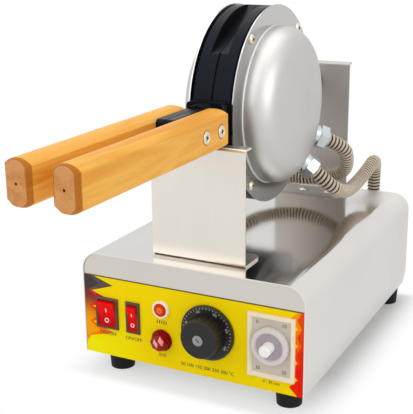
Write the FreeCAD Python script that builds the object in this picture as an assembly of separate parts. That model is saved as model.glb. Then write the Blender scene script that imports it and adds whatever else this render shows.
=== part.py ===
import FreeCAD, Part
import math
import os

V = FreeCAD.Vector

# A waffle cone maker: two hinged round baking plates with wooden handles, carried on two sheet
# stands over a box base that holds the controls. The head is stored standing on edge.
# Bench frame, in mm: X to the right, Y rearward from the front edge of the base, Z up from the
# floor. Every piece is moved as it is written, so that the origin is the middle of the footprint.

# Base box, folded from sheet
base_width = 228.0
base_depth = 322.0
base_height = 103.0
base_corner = 18.0
sheet = 1.2
sheet_gap = 0.3
panel_set_back = 0.6
panel_sheet = 1.5
rear_corner_cut = 11.0
overlay_height = 80.5
overlay_sheet = 0.5
vent_length = 60.0
vent_width = 4.0
vent_pitch = 12.0
vent_count = 6

# Feet and their screws
foot_height = 22.0
foot_top_radius = 13.4
foot_base_radius = 11.8
front_foot_side_inset = 24.5
front_foot_end_inset = 27.0
rear_foot_side_inset = 16.0
rear_foot_end_inset = 20.0
foot_recess_radius = 5.0
foot_recess_depth = 8.0
foot_screw_radius = 2.0
foot_screw_head_radius = 4.0
foot_screw_head = 3.0
foot_screw_grip = 6.0

# Stands, folded from sheet
stand_sheet = 2.0
stand_bend = 4.0
front_stand_width = 94.6
front_stand_y = 20.7
front_stand_foot = 35.5
front_stand_lip = 13.0
rear_stand_width = 88.0
rear_stand_y = 304.0
rear_stand_height = 147.8
rear_stand_foot = 31.0
rear_stand_lip = 5.0
stand_corner = 8.0
stand_bolt_radius = 3.0
stand_bolt_head_radius = 5.5
stand_bolt_head = 3.6
stand_bolt_length = 10.0
front_bolt_pitch = 36.0
rear_bolt_pitch = 30.0

# Running fits and seats
running_gap = 0.05
seat_gap = 0.05
swing_gap = 0.3

# Baking head: plates, neck, tongues and hinge
axis_above_base = 126.6
disc_y = 143.7
parting_gap = 0.3
plate_back = 21.2
plate_floor = 12.0
plate_radius = 94.8
plate_edge = 1.2
plate_bevel = 3.2
well_radius = 68.0
field_radius = 82.0
field_depth = 1.2
grid_pitch = 13.0
grid_width = 3.0
grid_depth = 1.4
slot_start = 86.0
slot_end = 143.0
slot_half_width = 8.7
neck_radius = 17.5
neck_length = 16.5
lug_half_height = 18.0
lug_corner = 4.0
tongue_side = 8.2
tongue_half_height = 15.0
tongue_length = 55.0
tongue_corner = 4.0
hinge_y = 253.0
hinge_pin_radius = 4.0
hinge_pin_head_radius = 6.5
hinge_pin_head = 2.5
knuckle_radius = 9.0
knuckle_half_height = 12.7
ear_height = 12.0
arm_side = 14.0

# Axle, bush and nut of the roll bearing
axle_radius = 8.0
axle_start_y = 261.0
axle_boss_radius = 12.0
axle_boss_end_y = 277.0
axle_collar_radius = 11.5
axle_collar_width = 6.0
bush_radius = 10.5
bush_flange_radius = 13.0
bush_flange = 5.0
bush_tail = 4.0
washer_radius = 14.0
washer_sheet = 2.0
nut_flats = 22.0
nut_height = 7.0

# Covers over the heaters
ring_radius = 95.8
ring_bore = 70.0
cover_sheet = 1.2
dome_radius = 76.0
right_dome_wall = 5.2
left_dome_wall = 0.6
dome_shoulder = 22.0
dome_slope = 12.0
dome_bead = 1.6
cover_screw_circle = 88.5
cover_screw_angle = 51.0
cover_screw_radius = 2.0
cover_screw_head_radius = 4.8
cover_screw_head = 2.6
cover_screw_grip = 9.0

# Heaters and their clamp rings
heater_circle = 55.0
heater_radius = 4.2
heater_stud_radius = 2.0
heater_stud_length = 9.0
heater_stud_angle = 40.0
clamp_width = 24.0
clamp_sheet = 1.5
clamp_post_radius = 3.0
clamp_post_count = 3

# Handles and their screws
handle_reach = 205.0
handle_end_gap = 1.2
handle_thickness = 23.5
handle_flat = 12.9
handle_half_height = 17.9
handle_bevel = 4.2
handle_bevel_rise = 1.7
handle_end_round = 7.0
pilot_radius = 1.2
pilot_depth = 12.0
handle_screw_first_y = -21.0
handle_screw_second_y = 7.0
handle_screw_radius = 2.5
handle_screw_head_radius = 6.4
handle_screw_head = 2.4
handle_screw_proud = 0.8
handle_screw_bite = 6.0

# Conduit glands and the conduits
gland_tilt = 42.0
gland_upper_angle = -34.0
gland_lower_angle = -64.0
gland_collar_radius = 10.5
gland_collar_in = 6.0
gland_collar_out = 3.2
gland_flats = 22.0
gland_hex = 9.0
gland_ferrule_radius = 9.5
gland_ferrule = 1.5
gland_bore = 5.5
conduit_radius = 7.5
conduit_root = 6.5
conduit_bore = 5.5
conduit_pitch = 4.4
elbow_x = 64.0
elbow_z = 84.0
elbow_offset = 26.0
elbow_radius = 10.0
elbow_spigot_radius = 9.0
elbow_rise = 9.0
elbow_nut = 4.0
cord_gland_x = -72.0
cord_gland_z = 58.0
cord_gland_flats = 24.0
cord_gland_hex = 7.0
cord_gland_cap_radius = 10.5
cord_gland_cap = 14.0
cord_gland_bore = 4.5
cord_gland_thread_radius = 8.0

# Rocker switches
switch_height = 31.4
switch_frame = 2.2
switch_depth = 24.0
switch_margin = 1.8
switch_z = 44.0
power_switch_side_inset = 26.4
power_switch_x = power_switch_side_inset - base_width / 2
power_switch_width = 24.6
alarm_switch_side_inset = 55.0
alarm_switch_x = alarm_switch_side_inset - base_width / 2
alarm_switch_width = 15.0
rocker_side_rim = 2.6
rocker_end_rim = 3.0
rocker_gap = 0.45
rocker_swing = 0.6
rocker_tilt = 8.0
rocker_pivot_y = 2.0
rocker_proud = 1.7
rocker_back = 4.0
rocker_back_half = 8.5
rocker_pocket = 9.0
rocker_pin_radius = 1.2

# Pilot lamps
lamp_x = -28.0
heat_lamp_z = 58.5
heat_bezel_radius = 8.7
heat_bezel = 3.0
heat_lens_radius = 6.4
heat_lens_rise = 1.4
alarm_lamp_z = 27.5
alarm_lens_radius = 9.9
alarm_lens_rise = 9.0
alarm_lens_top_radius = 4.0
alarm_bezel_radius = 10.6
alarm_bezel = 1.6
lamp_body_radius = 5.5
lamp_body_depth = 22.0

# Temperature knob and thermostat
knob_x = 20.3
knob_z = 44.8
knob_gap = 0.8
knob_skirt_radius = 26.5
knob_skirt = 3.0
knob_skirt_bevel = 1.2
knob_grip_radius = 18.8
knob_grip_end_radius = 18.2
knob_grip = 16.5
knob_grip_edge = 1.6
knob_hub_radius = 5.0
knob_hub = 0.8
knob_flutes = 24
knob_flute_radius = 1.1
shaft_radius = 3.0
shaft_reach = 14.0
thermostat_size = 42.0
thermostat_depth = 26.0
thermostat_neck_radius = 6.0

# Timer
timer_side_inset = 31.3
timer_x = base_width / 2 - timer_side_inset
timer_z = 43.1
timer_width = 45.0
timer_height = 60.6
timer_frame = 3.5
timer_rim = 4.4
timer_rim_slope = 1.6
timer_face_depth = 2.0
timer_face_sheet = 1.2
timer_body_width = 41.0
timer_body_height = 50.0
timer_body_depth = 44.0
timer_dial_lift = 2.0
timer_dial_radius = 17.4
timer_dial = 5.0
timer_dial_land = 4.0
timer_dial_sink = 1.2
timer_button_radius = 5.2
timer_button_rise = 12.0
timer_shaft_radius = 2.5
timer_shaft_reach = 2.5

# Parts inside the base
terminal_length = 70.0
terminal_depth = 18.0
terminal_height = 22.0
terminal_ways = 6
relay_length = 32.0
relay_depth = 28.0
relay_height = 36.0
buzzer_radius = 14.0
buzzer_height = 11.0

# Places worked out from the sizes above
base_floor = foot_height
base_top = foot_height + base_height
axis_z = base_top + axis_above_base
overlay_face = panel_set_back - overlay_sheet
plate_face = panel_set_back
plate_rear = panel_set_back + panel_sheet
inner_half = base_width / 2 - sheet - sheet_gap
handle_end_y = front_stand_y - handle_end_gap
neck_start_y = handle_end_y + swing_gap
lug_start_y = neck_start_y + neck_length
stand_top = axis_z - neck_radius - swing_gap
handle_outer = tongue_side + handle_thickness
rear_face_y = base_depth - panel_set_back
rear_reach = base_depth + elbow_offset + gland_flats / 2
origin_shift = V(0, (handle_reach - rear_reach) / 2, 0)
disc_centre = V(0, disc_y, axis_z)
ring_face = plate_back + cover_sheet
shoulder_centre = dome_radius - dome_shoulder
X_AXIS = V(1, 0, 0)
Y_AXIS = V(0, 1, 0)
Z_AXIS = V(0, 0, 1)


# Shaping helpers

def box(low, high):
    """Block between two opposite corners."""
    size = V(*high) - V(*low)
    return Part.makeBox(size.x, size.y, size.z, V(*low))


def rod(radius, start, along, length):
    """Round bar from a point along a direction."""
    return Part.makeCylinder(radius, length, V(*start), along)


def hexagon(flats, start, along, length):
    """Six-sided bar given by its width across flats."""
    corner = flats / math.sqrt(3)
    points = [V(corner * math.cos(math.radians(60 * i)), corner * math.sin(math.radians(60 * i)), 0)
              for i in range(7)]
    bar = Part.Face(Part.makePolygon(points)).extrude(V(0, 0, length))
    bar.Placement = FreeCAD.Placement(V(*start), FreeCAD.Rotation(Z_AXIS, along))
    return bar


def turn(centre, radius, first, last):
    """Arc step of an outline about a centre, between two angles in degrees."""
    def at(angle):
        return (centre[0] + radius * math.cos(math.radians(angle)),
                centre[1] + radius * math.sin(math.radians(angle)))
    return (at((first + last) / 2), at(last))


def crown(start, radius, rise):
    """Arc step of a round cap, from the end of a radius to the axis."""
    ball = (radius ** 2 + rise ** 2) / (2 * abs(rise))
    way = math.copysign(1.0, rise)
    centre = start + rise - way * ball
    half = math.asin(radius / ball) / 2
    return ((centre + way * ball * math.cos(half), ball * math.sin(half)), (start + rise, 0.0))


def outline(steps, plane):
    """Closed face through (a, b) points; a pair of points is an arc by way of the first."""
    edges = []
    start = plane(*steps[0])
    last = start
    for step in steps[1:]:
        if isinstance(step[0], tuple):
            end = plane(*step[1])
            edges.append(Part.Arc(last, plane(*step[0]), end).toShape())
        else:
            end = plane(*step)
            edges.append(Part.makeLine(last, end))
        last = end
    if last.distanceToPoint(start) > 1e-6:
        edges.append(Part.makeLine(last, start))
    return Part.Face(Part.Wire(edges))


def across(steps, width, middle=0.0):
    """Side outline in (y, z), as wide as given, centred on x = middle."""
    return outline(steps, lambda y, z: V(middle - width / 2, y, z)).extrude(V(width, 0, 0))


def lengthways(steps, start, length):
    """Front outline in (x, z), run rearward from y = start."""
    return outline(steps, lambda x, z: V(x, start, z)).extrude(V(0, length, 0))


def turned(steps, centre, along):
    """Round piece from a half outline in (along, radius)."""
    shape = outline(steps, lambda s, r: V(r, 0, s)).revolve(V(0, 0, 0), Z_AXIS, 360)
    shape.Placement = FreeCAD.Placement(V(*centre), FreeCAD.Rotation(Z_AXIS, along))
    return shape


def mirrored(shape):
    """Left-hand copy of a right-hand piece."""
    return shape.mirror(V(0, 0, 0), X_AXIS)


def rounded_plate(width, depth, corner, low, height):
    """Plate in plan with its two far corners rounded; low is the middle of its near edge."""
    half = width / 2
    steps = [(-half, 0.0), (half, 0.0), (half, depth - corner),
             turn((half - corner, depth - corner), corner, 0, 90),
             (corner - half, depth),
             turn((corner - half, depth - corner), corner, 90, 180)]
    face = outline(steps, lambda x, y: V(low[0] + x, low[1] + y, low[2]))
    return face.extrude(V(0, 0, height))


# Base box

def arch(inset, floor):
    """Front outline of the base box, moved inwards."""
    half = base_width / 2 - inset
    top = base_top - inset
    bend = base_corner - inset
    return [(-half, floor), (-half, top - bend),
            turn((bend - half, top - bend), bend, 180, 90),
            (half - bend, top),
            turn((half - bend, top - bend), bend, 90, 0),
            (half, floor)]


def rear_corner():
    """Wedge that clips the lower rear corners of the base."""
    return across([(base_depth - rear_corner_cut, base_floor), (base_depth, base_floor),
                   (base_depth, base_floor + rear_corner_cut)], base_width + 2)


def foot_places():
    front_x = base_width / 2 - front_foot_side_inset
    rear_x = base_width / 2 - rear_foot_side_inset
    rear_y = base_depth - rear_foot_end_inset
    front = [(-front_x, front_foot_end_inset), (front_x, front_foot_end_inset)]
    return front + [(-rear_x, rear_y), (rear_x, rear_y)]


def stand_bolt_places():
    front_y = front_stand_y + front_stand_foot * 0.66
    rear_y = rear_stand_y - rear_stand_foot * 0.66
    front = [(side * front_bolt_pitch / 2, front_y) for side in (-1, 1)]
    rear = [(step * rear_bolt_pitch, rear_y) for step in (-1, 0, 1)]
    return front, rear


def bolt_holes(places, low, high):
    radius = stand_bolt_radius + seat_gap
    return [rod(radius, (x, y, low), Z_AXIS, high - low) for x, y in places]


def make_base_shell():
    shell = lengthways(arch(0.0, base_floor), 0.0, base_depth)
    hollow = lengthways(arch(sheet, base_floor - 1), -1.0, base_depth + 2)
    front, rear = stand_bolt_places()
    return shell.cut([hollow, rear_corner()] + bolt_holes(front + rear, base_top - 2 * sheet, base_top + 1))


def panel_openings():
    """Holes through the front plate and its overlay for the controls."""
    depth = plate_rear + 2
    holes = []
    for x, width in ((power_switch_x, power_switch_width), (alarm_switch_x, alarm_switch_width)):
        half = width / 2 - switch_margin + sheet_gap
        tall = switch_height / 2 - switch_margin + sheet_gap
        middle = base_floor + switch_z
        holes.append(box((x - half, -1, middle - tall), (x + half, depth, middle + tall)))
    for z in (heat_lamp_z, alarm_lamp_z):
        holes.append(rod(lamp_body_radius + seat_gap, (lamp_x, -1, base_floor + z), Y_AXIS, depth + 1))
    holes.append(rod(thermostat_neck_radius + seat_gap, (knob_x, -1, base_floor + knob_z), Y_AXIS, depth + 1))
    half = timer_body_width / 2 + sheet_gap
    tall = timer_body_height / 2 + sheet_gap
    middle = base_floor + timer_z
    holes.append(box((timer_x - half, -1, middle - tall), (timer_x + half, depth, middle + tall)))
    return holes


def make_front_plate():
    plate = lengthways(arch(sheet + sheet_gap, base_floor), plate_face, panel_sheet)
    return plate.cut(panel_openings())


def make_control_overlay():
    skin = box((-inner_half, overlay_face, base_floor), (inner_half, plate_face, base_floor + overlay_height))
    return skin.cut(panel_openings())


def make_rear_panel():
    floor = base_floor + rear_corner_cut + sheet_gap
    panel = lengthways(arch(sheet + sheet_gap, floor), rear_face_y - panel_sheet, panel_sheet)
    start = rear_face_y - panel_sheet - 1
    conduit = rod(elbow_spigot_radius + seat_gap, (elbow_x, start, elbow_z), Y_AXIS, panel_sheet + 2)
    cord = rod(cord_gland_thread_radius + seat_gap, (cord_gland_x, start, cord_gland_z), Y_AXIS,
               panel_sheet + 2)
    return panel.cut([conduit, cord])


def make_bottom_cover():
    front = plate_rear + sheet_gap
    rise = rear_corner_cut - sheet
    knee = base_depth - rear_corner_cut - sheet_gap
    shift = sheet * math.tan(math.radians(22.5))
    tray = across([(front, base_floor), (knee, base_floor), (knee + rise, base_floor + rise),
                   (knee + rise - sheet * math.sqrt(0.5), base_floor + rise + sheet * math.sqrt(0.5)),
                   (knee - shift, base_floor + sheet), (front, base_floor + sheet)], 2 * inner_half)
    holes = [rod(foot_screw_radius + seat_gap, (x, y, base_floor - 1), Z_AXIS, sheet + 2)
             for x, y in foot_places()]
    middle = base_depth / 2
    first = middle - (vent_count - 1) * vent_pitch / 2
    for i in range(vent_count):
        y = first + i * vent_pitch
        holes.append(box((-vent_length / 2, y - vent_width / 2, base_floor - 1),
                         (vent_length / 2, y + vent_width / 2, base_floor + sheet + 1)))
    return tray.cut(holes)


def make_feet():
    feet = []
    hole = foot_screw_radius + seat_gap
    for x, y in foot_places():
        profile = [(0.0, foot_recess_radius), (0.0, foot_base_radius), (foot_height, foot_top_radius),
                   (foot_height, hole), (foot_recess_depth, hole),
                   (foot_recess_depth, foot_recess_radius)]
        feet.append(turned(profile, (x, y, 0), Z_AXIS))
    return Part.makeCompound(feet)


def make_foot_screws():
    screws = []
    top = base_floor + sheet + foot_screw_grip
    low = foot_recess_depth - foot_screw_head
    for x, y in foot_places():
        head = rod(foot_screw_head_radius, (x, y, low), Z_AXIS, foot_screw_head)
        shank = rod(foot_screw_radius, (x, y, foot_recess_depth), Z_AXIS, top - foot_recess_depth)
        screws.append(head.fuse(shank).removeSplitter())
    return Part.makeCompound(screws)


# Stands

def stand_profile(face_y, height_z, foot, lip, toward):
    """Side outline of a folded stand; its foot runs the given way along Y, and so does its lip by sign."""
    t = stand_sheet
    bend = stand_bend
    low = base_top
    foot_side, lip_side = toward

    def y(offset):
        return face_y + offset

    steps = [(y(foot_side * foot), low), (y(foot_side * bend), low)]
    heel = (y(foot_side * bend), low + bend)
    steps.append(turn(heel, bend, 270, 180 if foot_side > 0 else 360))
    lip_bend = bend * 0.75
    if lip_side == foot_side:
        outer, inner = 0.0, foot_side * t
        steps.append((y(outer), height_z - lip_bend))
        top = (y(foot_side * lip_bend), height_z - lip_bend)
        steps.append(turn(top, lip_bend, 180 if foot_side > 0 else 0, 90))
        steps.append((y(foot_side * lip), height_z))
        steps.append((y(foot_side * lip), height_z - t))
        steps.append((y(foot_side * lip_bend), height_z - t))
        steps.append(turn(top, lip_bend - t, 90, 180 if foot_side > 0 else 0))
    else:
        inner = foot_side * t
        top = (y(inner - foot_side * lip_bend), height_z - lip_bend)
        steps.append((y(0.0), height_z - lip_bend))
        steps.append(turn(top, lip_bend - t, 0 if foot_side > 0 else 180, 90))
        steps.append((y(-foot_side * lip), height_z - t))
        steps.append((y(-foot_side * lip), height_z))
        steps.append((top[0], height_z))
        steps.append(turn(top, lip_bend, 90, 0 if foot_side > 0 else 180))
    steps.append((y(inner), low + bend))
    steps.append(turn(heel, bend - t, 180 if foot_side > 0 else 0, 270 if foot_side > 0 else -90))
    steps.append((y(foot_side * foot), low + t))
    return steps


def foot_trim(width, start_y, toward_y, depth):
    """Upright stencil that rounds the two far corners of a stand's foot."""
    stencil = rounded_plate(width, depth, stand_corner, (0, 0, base_top - 1), rear_stand_height + 2)
    if toward_y < 0:
        stencil = stencil.mirror(V(0, 0, 0), Y_AXIS)
    return stencil.translated(V(0, start_y, 0))


def make_front_stand():
    profile = stand_profile(front_stand_y, stand_top, front_stand_foot, front_stand_lip, (1, 1))
    stand = across(profile, front_stand_width)
    stand = stand.common(foot_trim(front_stand_width, front_stand_y, 1, front_stand_foot))
    front, rear = stand_bolt_places()
    return stand.cut(bolt_holes(front, base_top - 1, base_top + 2 * stand_sheet))


def make_rear_stand():
    profile = stand_profile(rear_stand_y + stand_sheet, base_top + rear_stand_height,
                            rear_stand_foot, rear_stand_lip, (-1, 1))
    stand = across(profile, rear_stand_width)
    lip_room = box((-rear_stand_width, rear_stand_y, base_top - 1),
                   (rear_stand_width, base_depth, base_top + rear_stand_height + 1))
    stencil = foot_trim(rear_stand_width, rear_stand_y + stand_sheet, -1, rear_stand_foot)
    stand = stand.common(stencil.fuse(lip_room))
    front, rear = stand_bolt_places()
    bush_hole = rod(bush_radius + seat_gap, (0, rear_stand_y - 1, axis_z), Y_AXIS, stand_sheet + 2)
    return stand.cut(bolt_holes(rear, base_top - 1, base_top + 2 * stand_sheet) + [bush_hole])


def stand_bolts(places):
    bolts = []
    seat = base_top + stand_sheet
    for x, y in places:
        rim = stand_bolt_head * 0.4
        head = turned([(0.0, 0.0), (0.0, stand_bolt_head_radius), (rim, stand_bolt_head_radius),
                       crown(rim, stand_bolt_head_radius, stand_bolt_head - rim)], (x, y, seat), Z_AXIS)
        shank = rod(stand_bolt_radius, (x, y, seat - stand_bolt_length), Z_AXIS, stand_bolt_length)
        bolts.append(head.fuse(shank).removeSplitter())
    return Part.makeCompound(bolts)


# Roll bearing at the rear stand

bush_front_y = rear_stand_y - bush_flange
bush_rear_y = rear_stand_y + stand_sheet + bush_tail
axle_end_y = bush_rear_y + swing_gap + washer_sheet + nut_height + 2


def make_axle_bush():
    profile = [(bush_front_y, axle_radius + running_gap), (bush_front_y, bush_flange_radius),
               (rear_stand_y, bush_flange_radius), (rear_stand_y, bush_radius),
               (bush_rear_y, bush_radius), (bush_rear_y, axle_radius + running_gap)]
    return turned(profile, (0, 0, axis_z), Y_AXIS)


def make_roll_axle():
    collar_end = bush_front_y - swing_gap
    collar_start = collar_end - axle_collar_width
    profile = [(axle_start_y, 0.0), (axle_start_y, axle_radius), (collar_start, axle_radius),
               (collar_start, axle_collar_radius), (collar_end, axle_collar_radius),
               (collar_end, axle_radius), (axle_end_y - 1, axle_radius), (axle_end_y, axle_radius - 1),
               (axle_end_y, 0.0)]
    return turned(profile, (0, 0, axis_z), Y_AXIS)


def make_axle_nut():
    washer_y = bush_rear_y + swing_gap
    washer = rod(washer_radius, (0, washer_y, axis_z), Y_AXIS, washer_sheet)
    nut = hexagon(nut_flats, (0, washer_y + washer_sheet, axis_z), Y_AXIS, nut_height)
    bore = rod(axle_radius + seat_gap, (0, washer_y - 1, axis_z), Y_AXIS, washer_sheet + nut_height + 2)
    return Part.makeCompound([washer.cut(bore), nut.cut(bore)])


# Baking plates

def polar(radius, angle):
    """Point of the disc plane, as (y, z), at an angle up from the rearward direction."""
    return (disc_y + radius * math.cos(math.radians(angle)),
            axis_z + radius * math.sin(math.radians(angle)))


def cover_screw_places():
    a = cover_screw_angle
    return [polar(cover_screw_circle, angle) for angle in (a, 180 - a, 180 + a, -a)]


def baking_grid():
    """Crossed grooves of the baking field, laid at 45 degrees."""
    depth = field_depth + grid_depth
    count = int(field_radius / grid_pitch)
    bars = []
    reach = plate_radius
    for step in range(-count, count + 1):
        low = step * grid_pitch - grid_width / 2
        high = low + grid_width
        bars.append(box((0, low, -reach), (depth, high, reach)))
        bars.append(box((0, -reach, low), (depth, reach, high)))
    grid = bars[0].fuse(bars[1:])
    grid.rotate(V(0, 0, 0), X_AXIS, 45)
    grid = grid.common(rod(field_radius, (0, 0, 0), X_AXIS, depth))
    return grid.translated(V(parting_gap, disc_y, axis_z))


def rim_slot():
    """Flat-floored chord slot across the parting line in the upper front of the rim."""
    first = polar(plate_radius, slot_start)
    last = polar(plate_radius, slot_end)
    outside = polar(plate_radius * 1.3, (slot_start + slot_end) / 2)
    return outline([first, last, outside], lambda y, z: V(-1, y, z)).extrude(V(slot_half_width + 1, 0, 0))


def half_plate():
    """Right-hand plate without its hinge: disc with a heater well, lug, half neck and tongue."""
    disc = turned([(parting_gap, 0.0), (parting_gap, plate_radius - plate_edge),
                   (parting_gap + plate_edge, plate_radius), (plate_back - plate_bevel, plate_radius),
                   (plate_back, plate_radius - plate_bevel), (plate_back, well_radius),
                   (plate_floor, well_radius), (plate_floor, 0.0)], disc_centre, X_AXIS)
    lug_end = disc_y - math.sqrt(plate_radius ** 2 - lug_half_height ** 2) + 3
    low = axis_z - lug_half_height
    high = axis_z + lug_half_height
    side = plate_back - plate_bevel
    flat = side - lug_corner
    lug = lengthways([(parting_gap, low), (flat, low),
                      turn((flat, low + lug_corner), lug_corner, 270, 360), (side, high - lug_corner),
                      turn((flat, high - lug_corner), lug_corner, 0, 90), (parting_gap, high)],
                     lug_start_y, lug_end - lug_start_y)
    neck = rod(neck_radius, (0, neck_start_y, axis_z), Y_AXIS, neck_length + 1)
    neck = neck.common(box((parting_gap, neck_start_y, axis_z - 2 * neck_radius),
                           (2 * neck_radius, lug_start_y + 1, axis_z + 2 * neck_radius)))
    tip = neck_start_y - tongue_length
    half = tongue_half_height
    bend = tongue_corner
    tongue = across([(neck_start_y + 1, axis_z - half), (neck_start_y + 1, axis_z + half),
                     (tip + bend, axis_z + half), turn((tip + bend, axis_z + half - bend), bend, 90, 180),
                     (tip, axis_z - half + bend), turn((tip + bend, axis_z - half + bend), bend, 180, 270)],
                    tongue_side - parting_gap, (tongue_side + parting_gap) / 2)
    plate = disc.fuse([lug, neck, tongue]).removeSplitter()
    field = rod(field_radius, (parting_gap - 1, disc_y, axis_z), X_AXIS, field_depth + 1)
    start = ring_face - cover_screw_grip
    threads = [rod(cover_screw_radius + seat_gap, (start - 1, y, z), X_AXIS, cover_screw_grip + 2)
               for y, z in cover_screw_places()]
    bites = [rod(handle_screw_radius + seat_gap, (tongue_side - handle_screw_bite - 1, y, axis_z), X_AXIS,
                 handle_screw_bite + 2) for y in (handle_screw_first_y, handle_screw_second_y)]
    return plate.cut([field, baking_grid(), rim_slot()] + threads + bites)


def hinge_arm(low, high):
    """Arm and knuckle from the right-hand plate to the hinge pin, between two heights from the axis."""
    root = disc_y + math.sqrt(plate_radius ** 2 - max(abs(low), abs(high)) ** 2) - 3
    arm = box((parting_gap, root, axis_z + low), (arm_side, hinge_y, axis_z + high))
    knuckle = rod(knuckle_radius, (0, hinge_y, axis_z + low), Z_AXIS, high - low)
    return arm.fuse(knuckle)


def hinge_bore():
    reach = knuckle_half_height + swing_gap + ear_height + 1
    return rod(hinge_pin_radius + running_gap, (0, hinge_y, axis_z - reach), Z_AXIS, 2 * reach)


def make_right_plate():
    arm = hinge_arm(-knuckle_half_height, knuckle_half_height)
    boss = rod(axle_boss_radius, (0, hinge_y, axis_z), Y_AXIS, axle_boss_end_y - hinge_y)
    plate = half_plate().fuse([arm, boss]).removeSplitter()
    socket = rod(axle_radius + seat_gap, (0, axle_start_y - seat_gap, axis_z), Y_AXIS,
                 axle_boss_end_y - axle_start_y + 1)
    return plate.cut([hinge_bore(), socket])


def make_left_plate():
    low = knuckle_half_height + swing_gap
    ears = [hinge_arm(low, low + ear_height), hinge_arm(-low - ear_height, -low)]
    plate = half_plate().fuse(ears).removeSplitter()
    return mirrored(plate.cut(hinge_bore()))


def make_hinge_pin():
    top = axis_z + knuckle_half_height + swing_gap + ear_height + swing_gap
    bottom = axis_z - knuckle_half_height - swing_gap - ear_height - swing_gap
    profile = [(bottom - hinge_pin_head, 0.0), (bottom - hinge_pin_head, hinge_pin_head_radius),
               (bottom, hinge_pin_head_radius), (bottom, hinge_pin_radius), (top, hinge_pin_radius),
               (top, hinge_pin_head_radius), (top + hinge_pin_head, hinge_pin_head_radius),
               (top + hinge_pin_head, 0.0)]
    return turned(profile, (0, hinge_y, 0), Z_AXIS)


# Covers, heaters and handles, right-hand

def make_cover_ring():
    """Flat ring on the back of a plate, standing out past its bevelled edge."""
    profile = [(plate_back, ring_bore), (plate_back, ring_radius),
               (ring_face, ring_radius), (ring_face, ring_bore)]
    ring = turned(profile, disc_centre, X_AXIS)
    holes = [rod(cover_screw_radius + seat_gap, (plate_back - 1, y, z), X_AXIS, cover_sheet + 2)
             for y, z in cover_screw_places()]
    return ring.cut(holes)


def dome_form(wall_height, inset):
    """Solid dome: straight wall, round shoulder and a crowned face; the inside is inset."""
    shoulder_face = ring_face + wall_height
    shoulder = dome_shoulder - inset
    wall = dome_radius - inset
    lean = 90 - dome_slope
    rim = (shoulder_face + shoulder * math.sin(math.radians(lean)),
           shoulder_centre + shoulder * math.cos(math.radians(lean)))
    crown = rim[1] / math.sin(math.radians(dome_slope))
    centre = rim[0] - crown * math.cos(math.radians(dome_slope))
    half = math.radians(dome_slope / 2)
    middle = (centre + crown * math.cos(half), crown * math.sin(half))
    bend = math.radians(lean / 2)
    knee = (shoulder_face + shoulder * math.sin(bend), shoulder_centre + shoulder * math.cos(bend))
    steps = [(ring_face, 0.0), (ring_face, wall), (shoulder_face, wall), (knee, rim),
             (middle, (centre + crown, 0.0))]
    return turned(steps, disc_centre, X_AXIS)


def gland_seat(wall_height, angle):
    """Point of the dome's shoulder and outward direction of a gland."""
    tilt = math.radians(gland_tilt)
    radius = shoulder_centre + dome_shoulder * math.cos(tilt)
    y, z = polar(radius, angle)
    a = math.radians(angle)
    along = V(math.sin(tilt), math.cos(tilt) * math.cos(a), math.cos(tilt) * math.sin(a))
    return V(ring_face + wall_height + dome_shoulder * math.sin(tilt), y, z), along


def gland_end(wall_height, angle):
    seat, along = gland_seat(wall_height, angle)
    return seat + along * (gland_collar_out + gland_hex + gland_ferrule), along


def make_dome(wall_height, angles):
    bead = turned([(ring_face, dome_radius - cover_sheet), (ring_face, dome_radius + dome_bead),
                   turn((ring_face, dome_radius), dome_bead, 90, 0),
                   (ring_face + dome_bead, dome_radius - cover_sheet)], disc_centre, X_AXIS)
    dome = dome_form(wall_height, 0.0).fuse(bead).cut(dome_form(wall_height, cover_sheet))
    holes = []
    for angle in angles:
        seat, along = gland_seat(wall_height, angle)
        start = seat - along * 2 * gland_collar_in
        holes.append(rod(gland_collar_radius + seat_gap, start, along, 4 * gland_collar_in))
    return dome.cut(holes).removeSplitter()


def make_gland(wall_height, angle):
    seat, along = gland_seat(wall_height, angle)
    start = seat - along * gland_collar_in
    collar = rod(gland_collar_radius, start, along, gland_collar_in + gland_collar_out)
    body = hexagon(gland_flats, seat + along * gland_collar_out, along, gland_hex)
    ferrule = rod(gland_ferrule_radius, seat + along * (gland_collar_out + gland_hex), along, gland_ferrule)
    length = gland_collar_in + gland_collar_out + gland_hex + gland_ferrule
    bore = rod(gland_bore, start - along, along, length + 2)
    return collar.fuse([body, ferrule]).cut(bore).removeSplitter()


def make_cover_screws():
    screws = []
    for y, z in cover_screw_places():
        head = turned([(0.0, 0.0), (0.0, cover_screw_head_radius),
                       crown(0.0, cover_screw_head_radius, cover_screw_head)], (ring_face, y, z), X_AXIS)
        shank = rod(cover_screw_radius, (ring_face - cover_screw_grip, y, z), X_AXIS, cover_screw_grip)
        screws.append(head.fuse(shank).removeSplitter())
    return Part.makeCompound(screws)


def make_heater():
    """Round tubular heating element with its two terminal studs."""
    face = plate_floor + seat_gap + heater_radius
    ring = Part.makeTorus(heater_circle, heater_radius, V(face, disc_y, axis_z), X_AXIS)
    studs = []
    for angle in (-heater_stud_angle / 2, heater_stud_angle / 2):
        y, z = polar(heater_circle, angle)
        studs.append(rod(heater_stud_radius, (face, y, z), X_AXIS, heater_radius + heater_stud_length))
    return ring.fuse(studs).removeSplitter()


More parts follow.
